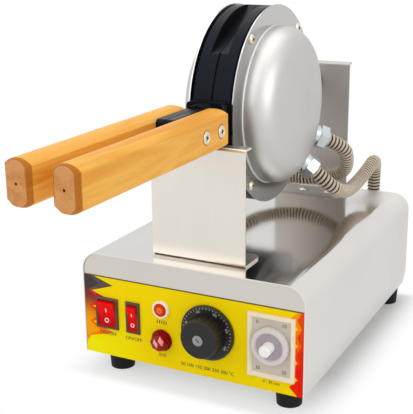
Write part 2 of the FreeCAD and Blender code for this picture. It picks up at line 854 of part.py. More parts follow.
def make_heater_clamp():
    """Ring that presses the element on the plate, on posts inside the element's circle."""
    face = plate_floor + 2 * seat_gap + 2 * heater_radius
    inner = heater_circle - clamp_width
    ring = turned([(face, inner), (face, heater_circle + heater_radius),
                   (face + clamp_sheet, heater_circle + heater_radius), (face + clamp_sheet, inner)],
                  disc_centre, X_AXIS)
    posts = []
    circle = (inner + heater_circle - heater_radius) / 2
    for i in range(clamp_post_count):
        y, z = polar(circle, 90 + 360 / clamp_post_count * i)
        posts.append(rod(clamp_post_radius, (plate_floor, y, z), X_AXIS, face - plate_floor))
    studs = []
    for angle in (-heater_stud_angle / 2, heater_stud_angle / 2):
        y, z = polar(heater_circle, angle)
        studs.append(rod(2 * heater_stud_radius, (face - 1, y, z), X_AXIS, clamp_sheet + 2))
    return ring.fuse(posts).cut(studs).removeSplitter()


def make_handle():
    """Wooden handle: arched top and bottom, front end bevelled at its sides, rounded rear corners."""
    inner = tongue_side
    outer = handle_outer
    middle = (inner + outer) / 2

    def section(inset, drop, y):
        """Closed section wire, drawn in at its sides and by a drop at its top and bottom."""
        flat = handle_flat - drop
        tall = handle_half_height - drop
        steps = [(inner + inset, axis_z - flat), ((middle, axis_z - tall), (outer - inset, axis_z - flat)),
                 (outer - inset, axis_z + flat), ((middle, axis_z + tall), (inner + inset, axis_z + flat))]
        return outline(steps, lambda x, z: V(x, y, z)).OuterWire

    shoulder = handle_bevel - handle_reach
    tip = section(handle_bevel, handle_bevel_rise, -handle_reach)
    bevel = Part.makeLoft([tip, section(0.0, 0.0, shoulder)], True, True)
    bar = Part.Face(section(0.0, 0.0, shoulder)).extrude(V(0, handle_end_y - shoulder, 0))
    bar = bar.fuse(bevel).removeSplitter()
    bend = handle_end_round
    low = axis_z - handle_half_height
    high = axis_z + handle_half_height
    side = across([(-handle_reach, low), (handle_end_y - bend, low),
                   turn((handle_end_y - bend, low + bend), bend, 270, 360), (handle_end_y, high - bend),
                   turn((handle_end_y - bend, high - bend), bend, 0, 90), (-handle_reach, high)],
                  handle_thickness, middle)
    cuts = [rod(pilot_radius, (middle, -handle_reach - 1, axis_z), Y_AXIS, pilot_depth + 1)]
    seat = outer + handle_screw_proud - handle_screw_head
    for y in (handle_screw_first_y, handle_screw_second_y):
        cuts.append(rod(handle_screw_head_radius + seat_gap, (seat, y, axis_z), X_AXIS, handle_screw_head))
        cuts.append(rod(handle_screw_radius + seat_gap, (inner - 1, y, axis_z), X_AXIS, handle_thickness))
    return bar.common(side).cut(cuts)


def make_handle_screws():
    screws = []
    seat = handle_outer + handle_screw_proud - handle_screw_head
    start = tongue_side - handle_screw_bite
    for y in (handle_screw_first_y, handle_screw_second_y):
        rim = handle_screw_head * 0.6
        head = turned([(0.0, 0.0), (0.0, handle_screw_head_radius), (rim, handle_screw_head_radius),
                       crown(rim, handle_screw_head_radius, handle_screw_head - rim)],
                      (seat, y, axis_z), X_AXIS)
        shank = rod(handle_screw_radius, (start, y, axis_z), X_AXIS, seat - start)
        screws.append(head.fuse(shank).removeSplitter())
    return Part.makeCompound(screws)


# Fittings on the rear panel

elbow_axis_y = base_depth + elbow_offset
elbow_top = elbow_z + elbow_radius + elbow_rise
elbow_mouth = elbow_top + gland_hex + gland_ferrule


def make_conduit_elbow():
    """Right-angle fitting: spigot through the rear panel, round bend and an upward hexagon."""
    inside = rear_face_y - panel_sheet - elbow_nut
    spigot = rod(elbow_spigot_radius, (elbow_x, inside, elbow_z), Y_AXIS, elbow_axis_y - inside)
    flange = rod(elbow_radius + 2, (elbow_x, rear_face_y, elbow_z), Y_AXIS, elbow_nut)
    bend = Part.makeSphere(elbow_radius, V(elbow_x, elbow_axis_y, elbow_z))
    riser = rod(elbow_radius, (elbow_x, elbow_axis_y, elbow_z), Z_AXIS, elbow_top - elbow_z)
    body = hexagon(gland_flats, (elbow_x, elbow_axis_y, elbow_top), Z_AXIS, gland_hex)
    ferrule = rod(gland_ferrule_radius, (elbow_x, elbow_axis_y, elbow_top + gland_hex), Z_AXIS, gland_ferrule)
    bores = [rod(gland_bore, (elbow_x, inside - 1, elbow_z), Y_AXIS, elbow_axis_y - inside + 1),
             rod(gland_bore, (elbow_x, elbow_axis_y, elbow_z), Z_AXIS, elbow_mouth - elbow_z + 1),
             Part.makeSphere(gland_bore, V(elbow_x, elbow_axis_y, elbow_z))]
    return spigot.fuse([flange, bend, riser, body, ferrule]).cut(bores).removeSplitter()


def make_cord_gland():
    """Compression gland for the mains lead, with its open bore."""
    inside = rear_face_y - panel_sheet - elbow_nut
    thread = rod(cord_gland_thread_radius, (cord_gland_x, inside, cord_gland_z), Y_AXIS, rear_face_y - inside)
    body = hexagon(cord_gland_flats, (cord_gland_x, rear_face_y, cord_gland_z), Y_AXIS, cord_gland_hex)
    start = rear_face_y + cord_gland_hex
    cap = turned([(start, 0.0), (start, cord_gland_cap_radius),
                  (start + cord_gland_cap * 0.6, cord_gland_cap_radius),
                  ((start + cord_gland_cap * 0.9, cord_gland_cap_radius * 0.82),
                   (start + cord_gland_cap, cord_gland_cap_radius * 0.55)), (start + cord_gland_cap, 0.0)],
                 (cord_gland_x, 0, cord_gland_z), Y_AXIS)
    length = cord_gland_cap + cord_gland_hex + rear_face_y - inside
    bore = rod(cord_gland_bore, (cord_gland_x, inside - 1, cord_gland_z), Y_AXIS, length + 2)
    return thread.fuse([body, cap]).cut(bore).removeSplitter()


# Conduits: ribbed tubes on straight runs joined by tangent arcs

def rounded_route(points):
    """Edges of a route with each corner an arc as large as its two runs allow, and the arcs' radii."""
    edges = []
    radii = []
    last = points[0]
    for before, corner, after in zip(points, points[1:], points[2:]):
        come = (corner - before)
        leave = (after - corner)
        set_back = 0.45 * min(come.Length, leave.Length)
        come.normalize()
        leave.normalize()
        half_turn = come.getAngle(leave) / 2
        radii.append(set_back / math.tan(half_turn))
        start = corner - come * set_back
        end = corner + leave * set_back
        inward = leave - come
        inward.normalize()
        middle = corner + inward * (radii[-1] / math.cos(half_turn) - radii[-1])
        edges.append(Part.LineSegment(last, start).toShape())
        edges.append(Part.Arc(start, middle, end).toShape())
        last = end
    edges.append(Part.LineSegment(last, points[-1]).toShape())
    return edges, radii


def stations(edges, places):
    """Point and direction of a route at each distance along it."""
    found = []
    for place in places:
        left = place
        for edge in edges:
            if left <= edge.Length + 1e-6:
                break
            left -= edge.Length
        at = edge.getParameterByLength(min(max(left, 0.0), edge.Length))
        found.append((edge.valueAt(at), edge.tangentAt(at)))
    return found


def hoops(found, radii):
    """Circles square to a route, each with its X axis carried on from the one before."""
    wires = []
    side = X_AXIS
    for (point, along), radius in zip(found, radii):
        side = side - along * side.dot(along)
        if side.Length < 1e-6:
            side = Y_AXIS - along * Y_AXIS.dot(along)
        side.normalize()
        frame = FreeCAD.Rotation(side, along.cross(side), along, "ZXY")
        circle = Part.Circle()
        circle.Radius = radius
        hoop = Part.Wire(circle.toShape())
        hoop.Placement = FreeCAD.Placement(point, frame)
        wires.append(hoop)
    return wires


def ribbed_tube(name, points):
    """Ribbed tube with its bore; prints its length, arc radii and least gap to itself."""
    edges, radii = rounded_route(points)
    length = sum(edge.Length for edge in edges)
    count = int(length / conduit_pitch)
    pitch = length / count
    places = []
    sizes = []
    for rib in range(count):
        for share, radius in ((0.0, conduit_root), (0.25, conduit_radius),
                              (0.55, conduit_radius), (0.80, conduit_root)):
            places.append((rib + share) * pitch)
            sizes.append(radius)
    places.append(length)
    sizes.append(conduit_root)
    outer = Part.makeLoft(hoops(stations(edges, places), sizes), True, True)
    inner_places = [rib * pitch for rib in range(count + 1)]
    inner_sizes = [conduit_bore] * len(inner_places)
    inner = Part.makeLoft(hoops(stations(edges, inner_places), inner_sizes), True, True)
    middles = [point for point, along in stations(edges, inner_places)]
    apart = 3 * int(conduit_radius / pitch + 1)
    gap = min([a.distanceToPoint(b) for i, a in enumerate(middles) for b in middles[i + apart:]])
    print("%s: length %.1f, ribs %d, least gap to itself %.1f, arc radii %s"
          % (name, length, count, gap - 2 * conduit_radius, " ".join("%.0f" % r for r in radii)))
    tube = outer.cut(inner)
    slopes = (conduit_radius ** 2 + conduit_radius * conduit_root + conduit_root ** 2) / 3
    outside = 0.3 * conduit_radius ** 2 + 0.5 * slopes + 0.2 * conduit_root ** 2
    section = math.pi * (outside - conduit_bore ** 2)
    print("%s: volume %.0f, section times length %.0f" % (name, tube.Volume, section * length))
    return tube


end_run = 24.0
elbow_end_run = 27.5
left_end_run = 34.0


def make_supply_conduit():
    """From the lower gland of the right dome, over the base and down behind it into the elbow."""
    start, along = gland_end(right_dome_wall, gland_lower_angle)
    finish = V(elbow_x, elbow_axis_y, elbow_mouth)
    points = [start, start + along * end_run, V(69, 205, 154.5), V(68, 229, 146.7), V(67, 252, 143.8),
              V(67.5, 278, 146.5), V(69, 305, 153.5), V(69, 332, 160.5),
              finish + Z_AXIS * elbow_end_run, finish]
    return ribbed_tube("supply_conduit", points)


def make_link_conduit():
    """From the upper gland of the right dome, under the hinge, to the left dome's gland."""
    start, along = gland_end(right_dome_wall, gland_upper_angle)
    finish, outward = gland_end(left_dome_wall, gland_lower_angle)
    finish = V(-finish.x, finish.y, finish.z)
    outward = V(-outward.x, outward.y, outward.z)
    points = [start, start + along * end_run, V(66.5, 239, 180.5), V(60.5, 252, 164.5), V(45, 261, 154),
              V(20, 266, 147.5), V(-10, 264, 146), V(-40, 248, 151), V(-60, 219, 150),
              finish + outward * left_end_run, finish]
    return ribbed_tube("link_conduit", points)


# Switches and lamps

def make_switch_housing(x, width):
    """Panel switch: frame on the overlay, body through the panel and the rocker's pocket."""
    middle = base_floor + switch_z
    tall = switch_height / 2
    frame = box((x - width / 2, overlay_face - switch_frame, middle - tall),
                (x + width / 2, overlay_face, middle + tall))
    edges = [edge for edge in frame.Edges if edge.BoundBox.YMax < overlay_face - switch_frame + 0.1]
    frame = frame.makeChamfer(switch_frame * 0.3, edges)
    half = width / 2 - switch_margin
    body = box((x - half, overlay_face, middle - tall + switch_margin),
               (x + half, overlay_face + switch_depth, middle + tall - switch_margin))
    side = width / 2 - rocker_side_rim
    end = tall - rocker_end_rim + rocker_swing
    pocket = box((x - side, overlay_face - switch_frame - 1, middle - end),
                 (x + side, overlay_face + rocker_pocket, middle + end))
    pin = rod(rocker_pin_radius, (x - half, rocker_pivot_y, middle), X_AXIS, 2 * half)
    return frame.fuse(body).cut(pocket).fuse(pin).removeSplitter()


def make_rocker(x, width):
    """Rocker with a dished face, resting with its lower end pressed in."""
    middle = base_floor + switch_z
    half = switch_height / 2 - rocker_end_rim - rocker_gap
    front = overlay_face - switch_frame
    face = [(front - rocker_proud, middle - half),
            ((front, middle), (front - rocker_proud, middle + half)),
            (rocker_pivot_y, middle + half), (rocker_pivot_y + rocker_back, middle + rocker_back_half),
            (rocker_pivot_y + rocker_back, middle - rocker_back_half), (rocker_pivot_y, middle - half)]
    rocker = across(face, width - 2 * rocker_side_rim - 2 * rocker_gap, x)
    bore = rod(rocker_pin_radius + running_gap, (x - width, rocker_pivot_y, middle), X_AXIS, 2 * width)
    rocker = rocker.cut(bore)
    rocker.rotate(V(x, rocker_pivot_y, middle), X_AXIS, rocker_tilt)
    return rocker


def make_heat_lamp_bezel():
    z = base_floor + heat_lamp_z
    front = overlay_face - heat_bezel
    edge = heat_bezel * 0.35
    profile = [(front, heat_lens_radius + seat_gap), (front, heat_bezel_radius - edge),
               turn((front + edge, heat_bezel_radius - edge), edge, 180, 90),
               (overlay_face, heat_bezel_radius), (overlay_face, lamp_body_radius),
               (overlay_face + lamp_body_depth, lamp_body_radius),
               (overlay_face + lamp_body_depth, 0.0), (overlay_face - heat_bezel * 0.4, 0.0),
               (overlay_face - heat_bezel * 0.4, heat_lens_radius + seat_gap)]
    return turned(profile, (lamp_x, 0, z), Y_AXIS)


def make_heat_lamp_lens():
    z = base_floor + heat_lamp_z
    front = overlay_face - heat_bezel
    profile = [(overlay_face - heat_bezel * 0.4, 0.0), (overlay_face - heat_bezel * 0.4, heat_lens_radius),
               (front, heat_lens_radius), crown(front, heat_lens_radius, -heat_lens_rise)]
    return turned(profile, (lamp_x, 0, z), Y_AXIS)


def make_alarm_lamp_bezel():
    z = base_floor + alarm_lamp_z
    front = overlay_face - alarm_bezel
    profile = [(front, 0.0), (front, alarm_bezel_radius), (overlay_face, alarm_bezel_radius),
               (overlay_face, lamp_body_radius), (overlay_face + lamp_body_depth, lamp_body_radius),
               (overlay_face + lamp_body_depth, 0.0)]
    return turned(profile, (lamp_x, 0, z), Y_AXIS)


def make_alarm_lamp_lens():
    """Jewel lens: eight-sided, drawn in towards a flat top."""
    z = base_floor + alarm_lamp_z
    seat = overlay_face - alarm_bezel

    def ring(radius, y, spin):
        points = [V(lamp_x + radius * math.cos(math.radians(45 * i + spin)), y,
                    z + radius * math.sin(math.radians(45 * i + spin))) for i in range(9)]
        return Part.makePolygon(points)

    wires = [ring(alarm_lens_radius, seat, 0), ring(alarm_lens_radius, seat - alarm_lens_rise * 0.35, 0),
             ring(alarm_lens_radius * 0.8, seat - alarm_lens_rise * 0.8, 0),
             ring(alarm_lens_top_radius, seat - alarm_lens_rise, 0)]
    return Part.makeLoft(wires, True, True)


# Temperature knob and timer

def make_thermostat():
    z = base_floor + knob_z
    half = thermostat_size / 2
    body = box((knob_x - half, plate_rear, z - half),
               (knob_x + half, plate_rear + thermostat_depth, z + half))
    neck = rod(thermostat_neck_radius, (knob_x, overlay_face, z), Y_AXIS, plate_rear - overlay_face + 1)
    shaft = rod(shaft_radius, (knob_x, overlay_face - shaft_reach, z), Y_AXIS, shaft_reach + 1)
    return body.fuse([neck, shaft]).removeSplitter()


def make_temperature_knob():
    z = base_floor + knob_z
    back = overlay_face - knob_gap
    step = back - knob_skirt
    front = step - knob_grip
    bore = shaft_radius + running_gap
    depth = overlay_face - shaft_reach - running_gap
    edge = knob_grip_edge
    profile = [(back, bore), (back, knob_skirt_radius), (step + knob_skirt_bevel, knob_skirt_radius),
               (step, knob_skirt_radius - 2 * knob_skirt_bevel), (step, knob_grip_radius),
               (front + edge, knob_grip_end_radius),
               turn((front + edge, knob_grip_end_radius - edge), edge, 90, 180),
               (front, 0.0), (depth, 0.0), (depth, bore)]
    knob = turned(profile, (knob_x, 0, z), Y_AXIS)
    flutes = []
    for i in range(knob_flutes):
        angle = math.radians(360 / knob_flutes * i)
        radius = knob_grip_radius + knob_flute_radius * 0.4
        place = (knob_x + radius * math.cos(angle), front - 1, z + radius * math.sin(angle))
        flutes.append(rod(knob_flute_radius, place, Y_AXIS, knob_grip - knob_flute_radius))
    return knob.cut(flutes)


def make_temperature_hub():
    z = base_floor + knob_z
    front = overlay_face - knob_gap - knob_skirt - knob_grip
    return rod(knob_hub_radius, (knob_x, front - knob_hub, z), Y_AXIS, knob_hub)


timer_front = overlay_face - timer_frame
timer_face_y = timer_front + timer_face_depth


def make_timer_bezel():
    """Square frame with sloped inner walls round the timer's face."""
    z = base_floor + timer_z
    half = timer_width / 2
    tall = timer_height / 2
    frame = box((timer_x - half, timer_front, z - tall), (timer_x + half, overlay_face, z + tall))
    edges = [edge for edge in frame.Edges if edge.BoundBox.YMax < timer_front + 0.1]
    frame = frame.makeChamfer(timer_rim_slope * 0.6, edges)

    def window(inset, y):
        w = half - inset
        h = tall - inset
        corners = [V(timer_x - w, y, z - h), V(timer_x + w, y, z - h), V(timer_x + w, y, z + h),
                   V(timer_x - w, y, z + h), V(timer_x - w, y, z - h)]
        return Part.makePolygon(corners)

    well = Part.makeLoft([window(timer_rim - timer_rim_slope, timer_front),
                          window(timer_rim, timer_face_y)], True, True)
    through = box((timer_x - half + timer_rim, timer_face_y, z - tall + timer_rim),
                  (timer_x + half - timer_rim, overlay_face + 1, z + tall - timer_rim))
    return frame.cut([well, through])


def make_timer_face():
    z = base_floor + timer_z
    half = timer_width / 2 - timer_rim - seat_gap
    tall = timer_height / 2 - timer_rim - seat_gap
    face = box((timer_x - half, timer_face_y, z - tall),
               (timer_x + half, timer_face_y + timer_face_sheet, z + tall))
    middle = z + timer_dial_lift
    hole = rod(timer_shaft_radius + seat_gap, (timer_x, timer_front, middle), Y_AXIS, timer_frame)
    return face.cut(hole)


def make_timer_body():
    z = base_floor + timer_z
    start = timer_face_y + timer_face_sheet
    half = timer_body_width / 2
    tall = timer_body_height / 2
    nose_half = min(half, timer_width / 2 - timer_rim) - seat_gap
    nose_tall = min(tall, timer_height / 2 - timer_rim) - seat_gap
    nose = box((timer_x - nose_half, start, z - nose_tall),
               (timer_x + nose_half, overlay_face + 1, z + nose_tall))
    body = box((timer_x - half, overlay_face, z - tall),
               (timer_x + half, overlay_face + timer_body_depth, z + tall))
    middle = z + timer_dial_lift
    shaft = rod(timer_shaft_radius, (timer_x, timer_face_y - timer_shaft_reach, middle), Y_AXIS,
                timer_shaft_reach + timer_face_sheet + 1)
    return nose.fuse([body, shaft]).removeSplitter()


timer_dial_front = timer_face_y - swing_gap - timer_dial


def make_timer_dial():
    """Turning dial of the timer: a raised rim round a sunk disc."""
    z = base_floor + timer_z + timer_dial_lift
    back = timer_face_y - swing_gap
    disc = timer_dial_front + timer_dial_sink
    bore = timer_shaft_radius + running_gap
    depth = timer_face_y - timer_shaft_reach - running_gap
    edge = timer_dial_sink
    inner = timer_dial_radius - timer_dial_land
    profile = [(back, bore), (back, timer_dial_radius), (timer_dial_front + edge, timer_dial_radius),
               turn((timer_dial_front + edge, timer_dial_radius - edge), edge, 90, 180),
               (timer_dial_front, inner), (disc, inner - timer_dial_sink * 0.5), (disc, 0.0),
               (depth, 0.0), (depth, bore)]
    return turned(profile, (timer_x, 0, z), Y_AXIS)


def make_timer_button():
    """Raised grip on the timer's dial."""
    z = base_floor + timer_z + timer_dial_lift
    seat = timer_dial_front + timer_dial_sink
    front = seat - timer_button_rise
    edge = timer_button_radius * 0.2
    profile = [(seat, 0.0), (seat, timer_button_radius), (front + edge, timer_button_radius),
               (front, timer_button_radius - edge), (front, 0.0)]
    return turned(profile, (timer_x, 0, z), Y_AXIS)


# Electrical parts on the bottom cover

inner_floor = base_floor + sheet


def make_terminal_block():
    """Row of screw terminals across the base."""
    y = base_depth * 0.68
    top = inner_floor + terminal_height
    block = box((-terminal_length / 2, y, inner_floor), (terminal_length / 2, y + terminal_depth, top))
    pitch = terminal_length / terminal_ways
    notches = []
    for i in range(terminal_ways):
        x = -terminal_length / 2 + (i + 0.5) * pitch
        for edge in (y - 1, y + terminal_depth * 0.7):
            notches.append(box((x - pitch * 0.35, edge, inner_floor + terminal_height * 0.45),
                               (x + pitch * 0.35, edge + terminal_depth * 0.3 + 1, top + 1)))
    return block.cut(notches)


def make_relay():
    x = -base_width * 0.28
    y = base_depth * 0.45
    base = box((x - relay_length * 0.65, y - relay_depth * 0.6, inner_floor),
               (x + relay_length * 0.65, y + relay_depth * 0.6, inner_floor + relay_height * 0.2))
    case = box((x - relay_length / 2, y - relay_depth / 2, inner_floor),
               (x + relay_length / 2, y + relay_depth / 2, inner_floor + relay_height))
    return base.fuse(case).removeSplitter()


def make_buzzer():
    x = base_width * 0.28
    y = base_depth * 0.45
    profile = [(0.0, 0.0), (0.0, buzzer_radius), (buzzer_height * 0.85, buzzer_radius),
               (buzzer_height, buzzer_radius * 0.9), (buzzer_height, buzzer_radius * 0.2),
               (buzzer_height * 0.8, buzzer_radius * 0.2), (buzzer_height * 0.8, 0.0)]
    return turned(profile, (x, y, inner_floor), Z_AXIS)


# All pieces by node name

front_bolts, rear_bolts = stand_bolt_places()
right_cover_ring = make_cover_ring()
right_cover_screws = make_cover_screws()
right_heater = make_heater()
right_heater_clamp = make_heater_clamp()
right_handle = make_handle()
right_handle_screws = make_handle_screws()
right_glands = [make_gland(right_dome_wall, angle) for angle in (gland_upper_angle, gland_lower_angle)]

pieces = {
    "base_shell": make_base_shell(),
    "front_plate": make_front_plate(),
    "control_overlay": make_control_overlay(),
    "rear_panel": make_rear_panel(),
    "bottom_cover": make_bottom_cover(),
    "feet": make_feet(),
    "foot_screws": make_foot_screws(),
    "front_stand": make_front_stand(),
    "front_stand_bolts": stand_bolts(front_bolts),
    "rear_stand": make_rear_stand(),
    "rear_stand_bolts": stand_bolts(rear_bolts),
    "axle_bush": make_axle_bush(),
    "roll_axle": make_roll_axle(),
    "axle_nut": make_axle_nut(),
    "right_plate": make_right_plate(),
    "left_plate": make_left_plate(),
    "hinge_pin": make_hinge_pin(),
    "right_cover_ring": right_cover_ring,
    "left_cover_ring": mirrored(right_cover_ring),
    "right_dome": make_dome(right_dome_wall, [gland_upper_angle, gland_lower_angle]),
    "left_dome": mirrored(make_dome(left_dome_wall, [gland_lower_angle])),
    "right_cover_screws": right_cover_screws,
    "left_cover_screws": mirrored(right_cover_screws),
    "right_heater": right_heater,
    "left_heater": mirrored(right_heater),
    "right_heater_clamp": right_heater_clamp,
    "left_heater_clamp": mirrored(right_heater_clamp),
    "right_handle": right_handle,
    "left_handle": mirrored(right_handle),
    "right_handle_screws": right_handle_screws,
    "left_handle_screws": mirrored(right_handle_screws),
    "right_glands": Part.makeCompound(right_glands),
    "left_gland": mirrored(make_gland(left_dome_wall, gland_lower_angle)),
    "conduit_elbow": make_conduit_elbow(),
    "mains_cord_gland": make_cord_gland(),
    "supply_conduit": make_supply_conduit(),
    "link_conduit": make_link_conduit(),
    "power_switch_housing": make_switch_housing(power_switch_x, power_switch_width),
    "power_rocker": make_rocker(power_switch_x, power_switch_width),
    "alarm_switch_housing": make_switch_housing(alarm_switch_x, alarm_switch_width),
    "alarm_rocker": make_rocker(alarm_switch_x, alarm_switch_width),
    "heat_lamp_bezel": make_heat_lamp_bezel(),
    "heat_lamp_lens": make_heat_lamp_lens(),
    "alarm_lamp_bezel": make_alarm_lamp_bezel(),
    "alarm_lamp_lens": make_alarm_lamp_lens(),
    "thermostat": make_thermostat(),
    "temperature_knob": make_temperature_knob(),
    "temperature_knob_hub": make_temperature_hub(),
    "timer_bezel": make_timer_bezel(),
    "timer_face": make_timer_face(),
    "timer_body": make_timer_body(),
    "timer_dial": make_timer_dial(),
    "timer_button": make_timer_button(),
    "terminal_block": make_terminal_block(),
    "relay": make_relay(),
    "buzzer": make_buzzer(),
}

os.makedirs("parts", exist_ok=True)
for node, shape in pieces.items():
    shape.translated(origin_shift).exportStep("parts/%s.step" % node)
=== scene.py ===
import math

import bmesh
import bpy
from mathutils import Matrix, Vector


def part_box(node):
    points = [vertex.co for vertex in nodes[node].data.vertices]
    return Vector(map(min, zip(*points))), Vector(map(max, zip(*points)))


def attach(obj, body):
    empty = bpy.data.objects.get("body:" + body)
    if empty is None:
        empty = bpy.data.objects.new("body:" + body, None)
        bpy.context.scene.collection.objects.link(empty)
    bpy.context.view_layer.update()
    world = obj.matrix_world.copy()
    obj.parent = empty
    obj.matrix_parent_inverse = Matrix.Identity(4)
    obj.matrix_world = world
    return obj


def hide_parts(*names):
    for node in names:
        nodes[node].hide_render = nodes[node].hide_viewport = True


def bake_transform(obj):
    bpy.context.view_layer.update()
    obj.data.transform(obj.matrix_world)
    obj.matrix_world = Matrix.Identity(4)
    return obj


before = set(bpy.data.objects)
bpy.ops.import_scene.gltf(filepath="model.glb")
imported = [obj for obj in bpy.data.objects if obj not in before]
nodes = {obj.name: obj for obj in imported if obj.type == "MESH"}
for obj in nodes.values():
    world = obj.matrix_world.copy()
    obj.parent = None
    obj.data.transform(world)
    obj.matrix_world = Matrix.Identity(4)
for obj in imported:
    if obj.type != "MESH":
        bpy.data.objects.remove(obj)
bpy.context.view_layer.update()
scene = bpy.context.scene
mm = 0.001

# Places on the part, in metres
disc_middle = Vector((0.0, 66.7, 251.6)) * mm
knob_middle = Vector((20.3, -80.7, 66.8)) * mm
hub_face = Vector((20.3, -98.0, 66.8)) * mm
timer_middle = Vector((82.7, -78.4, 65.1)) * mm
dial_middle = timer_middle + Vector((0.0, 0.0, 2.0)) * mm
dial_face = dial_middle + Vector((0.0, -4.1, 0.0)) * mm
heat_lamp = Vector((-28.0, -77.0, 80.5)) * mm
alarm_lamp = Vector((-28.0, -77.0, 49.5)) * mm
panel_face = -76.9 * mm
power_x = -87.6 * mm
alarm_x = -59.0 * mm
rocker_z = 66.0 * mm


# Node trees

class Wire:
    """An output in a node tree. Arithmetic on it adds Math nodes."""

    def __init__(self, tree, out=None):
        self.tree = tree
        self.out = out

    def node(self, kind, inputs=None, out=0, **settings):
        """Any node: its settings, then the values or links of its sockets."""
        made = self.tree.nodes.new(kind)
        for name, value in settings.items():
            if name == "stops":
                ramp = made.color_ramp
                while len(ramp.elements) < len(value):
                    ramp.elements.new(1.0)
                for element, (place, colour) in zip(ramp.elements, value):
                    element.position = place
                    element.color = (*colour, 1.0)
            else:
                setattr(made, name, value)
        for name, value in (inputs or {}).items():
            if isinstance(value, Wire):
                self.tree.links.new(value.out, made.inputs[name])
            else:
                made.inputs[name].default_value = value
        return Wire(self.tree, made.outputs[out] if made.outputs else None)

    def every(self):
        """All outputs of this output's node, by name."""
        return {out.name: Wire(self.tree, out) for out in self.out.node.outputs}

    def math(self, operation, *values):
        return self.node("ShaderNodeMath", dict(enumerate(values)), operation=operation)

    def __add__(self, other):
        return self.math("ADD", self, other)

    def __radd__(self, other):
        return self.math("ADD", other, self)

    def __sub__(self, other):
        return self.math("SUBTRACT", self, other)

    def __rsub__(self, other):
        return self.math("SUBTRACT", other, self)

    def __mul__(self, other):
        return self.math("MULTIPLY", self, other)

    def __rmul__(self, other):
        return self.math("MULTIPLY", other, self)

    def __truediv__(self, other):
        return self.math("DIVIDE", self, other)

    def __pow__(self, other):
        return self.math("POWER", self, other)

    def __gt__(self, other):
        return self.math("GREATER_THAN", self, other)

    def __abs__(self):
        return self.math("ABSOLUTE", self)

    def fraction(self):
        return self.math("FRACT", self)

    def sine(self):
        return self.math("SINE", self)

    def larger(self, other):
        return self.math("MAXIMUM", self, other)

    def hypot(self, other):
        return (self * self + other * other) ** 0.5

    def towards(self, other, share):
        """A value between two: this one at a share of 0, the other at 1."""
        return self * (1.0 - share) + other * share

    def step(self, low, high):
        """Smooth rise from 0 at low to 1 at high."""
        return self.node("ShaderNodeMapRange", {"Value": self, "From Min": low, "From Max": high},
                         interpolation_type="SMOOTHSTEP")

    def falls(self, low, high):
        """Smooth fall from 1 at low to 0 at high."""
        return 1.0 - self.step(low, high)

    def parts(self):
        """The three numbers of a vector."""
        return list(self.node("ShaderNodeSeparateXYZ", {"Vector": self}).every().values())


class Finish:
    """A material in the making: its coordinates and its shader."""

    def __init__(self, name, **constants):
        self.material = bpy.data.materials.new(name)
        self.material.use_nodes = True
        self.tree = self.material.node_tree
        self.shader = self.tree.nodes["Principled BSDF"]
        self.start = Wire(self.tree)
        self.place = self.start.node("ShaderNodeTexCoord", out="Object")
        for socket, value in constants.items():
            self.shader.inputs[socket.replace("_", " ")].default_value = value

    def axes(self):
        return self.place.parts()

    def offsets(self, middle):
        """How far a place is to the right of a point, and above it."""
        x, y, z = self.axes()
        return x - middle.x, z - middle.z

    def stretched(self, scale):
        return self.start.node("ShaderNodeMapping", {"Vector": self.place, "Scale": scale})

    def noise(self, vector, scale, detail=2.0, warp=0.0):
        return self.start.node("ShaderNodeTexNoise",
                               {"Vector": vector, "Scale": scale, "Detail": detail, "Roughness": 0.55,
                                "Distortion": warp})

    def mix(self, factor, first, second):
        """Colour between two, each a colour or a wire."""
        pair = [value if isinstance(value, Wire) else (*value, 1.0) for value in (first, second)]
        return self.start.node("ShaderNodeMix", {0: factor, 6: pair[0], 7: pair[1]}, out=2,
                               data_type="RGBA", clamp_factor=True)

    def feed(self, **sockets):
        for socket, value in sockets.items():
            self.tree.links.new(value.out, self.shader.inputs[socket.replace("_", " ")])

    def surface(self, colour, rough, spread, pattern):
        """Feeds the colour, and a roughness that rises with a pattern."""
        self.feed(Base_Color=colour, Roughness=rough + spread * pattern)

    def bump(self, height, strength, distance=0.2 * mm):
        self.feed(Normal=self.start.node("ShaderNodeBump", {"Strength": strength, "Distance": distance,
                                                            "Height": height}))


# Finishes

edge_tint = (0.80, 0.80, 0.80, 1.0)
grain_x, grain_y, grain_z = (0.02, 1.0, 1.0), (1.0, 0.02, 1.0), (1.0, 1.0, 0.02)


def brushed_steel(name, dark, light, rough, spread, grain, metal=1.0, dull_corner=None):
    """Satin sheet with its grain along one axis. A dull corner is given by where it starts and
    ends across and along the part, and by the roughness that it adds."""
    made = Finish(name, Metallic=metal, Specular_Tint=edge_tint, Specular_IOR_Level=0.3)
    lines = made.noise(made.stretched(grain), scale=1400.0)
    cloud = made.noise(made.place, scale=9.0)
    if dull_corner:
        x, y, z = made.axes()
        across, along, added = dull_corner
        rough = rough + x.step(*across) * y.step(*along) * added
    made.surface(made.mix(lines.towards(cloud, share=0.55), dark, light), rough, spread, lines)
    made.bump(lines, strength=0.04)
    return made.material


def spun_steel(name, dark, light, rough, shade=0.0):
    """Sheet spun about the middle of the discs, with rings round it that fade out at the middle.
    Towards its low front it may be darker by a share, as painted shade."""
    shadow, front_lean = (0.10, 0.095, 0.09), 0.8
    made = Finish(name, Metallic=1.0, Specular_Tint=edge_tint)
    x, y, z = made.axes()
    behind = y - disc_middle.y
    above = z - disc_middle.z
    radius = behind.hypot(above)
    rings = made.start.node("ShaderNodeTexNoise", {"W": radius, "Scale": 1100.0, "Detail": 2.0},
                            noise_dimensions="1D") * radius.step(4.0 * mm, 30.0 * mm)
    cloud = made.noise(made.place, scale=14.0)
    colour = made.mix(rings.towards(cloud, share=0.6), dark, light)
    # painted shade: the low front is mixed towards a shadow colour
    if shade:
        painted_shade_mask = (above + behind * front_lean).falls(-85.0 * mm, 60.0 * mm)
        colour = made.mix(painted_shade_mask * shade, colour, shadow)
    made.surface(colour, rough, spread=0.06, pattern=rings)
    made.bump(rings, strength=0.03)
    return made.material


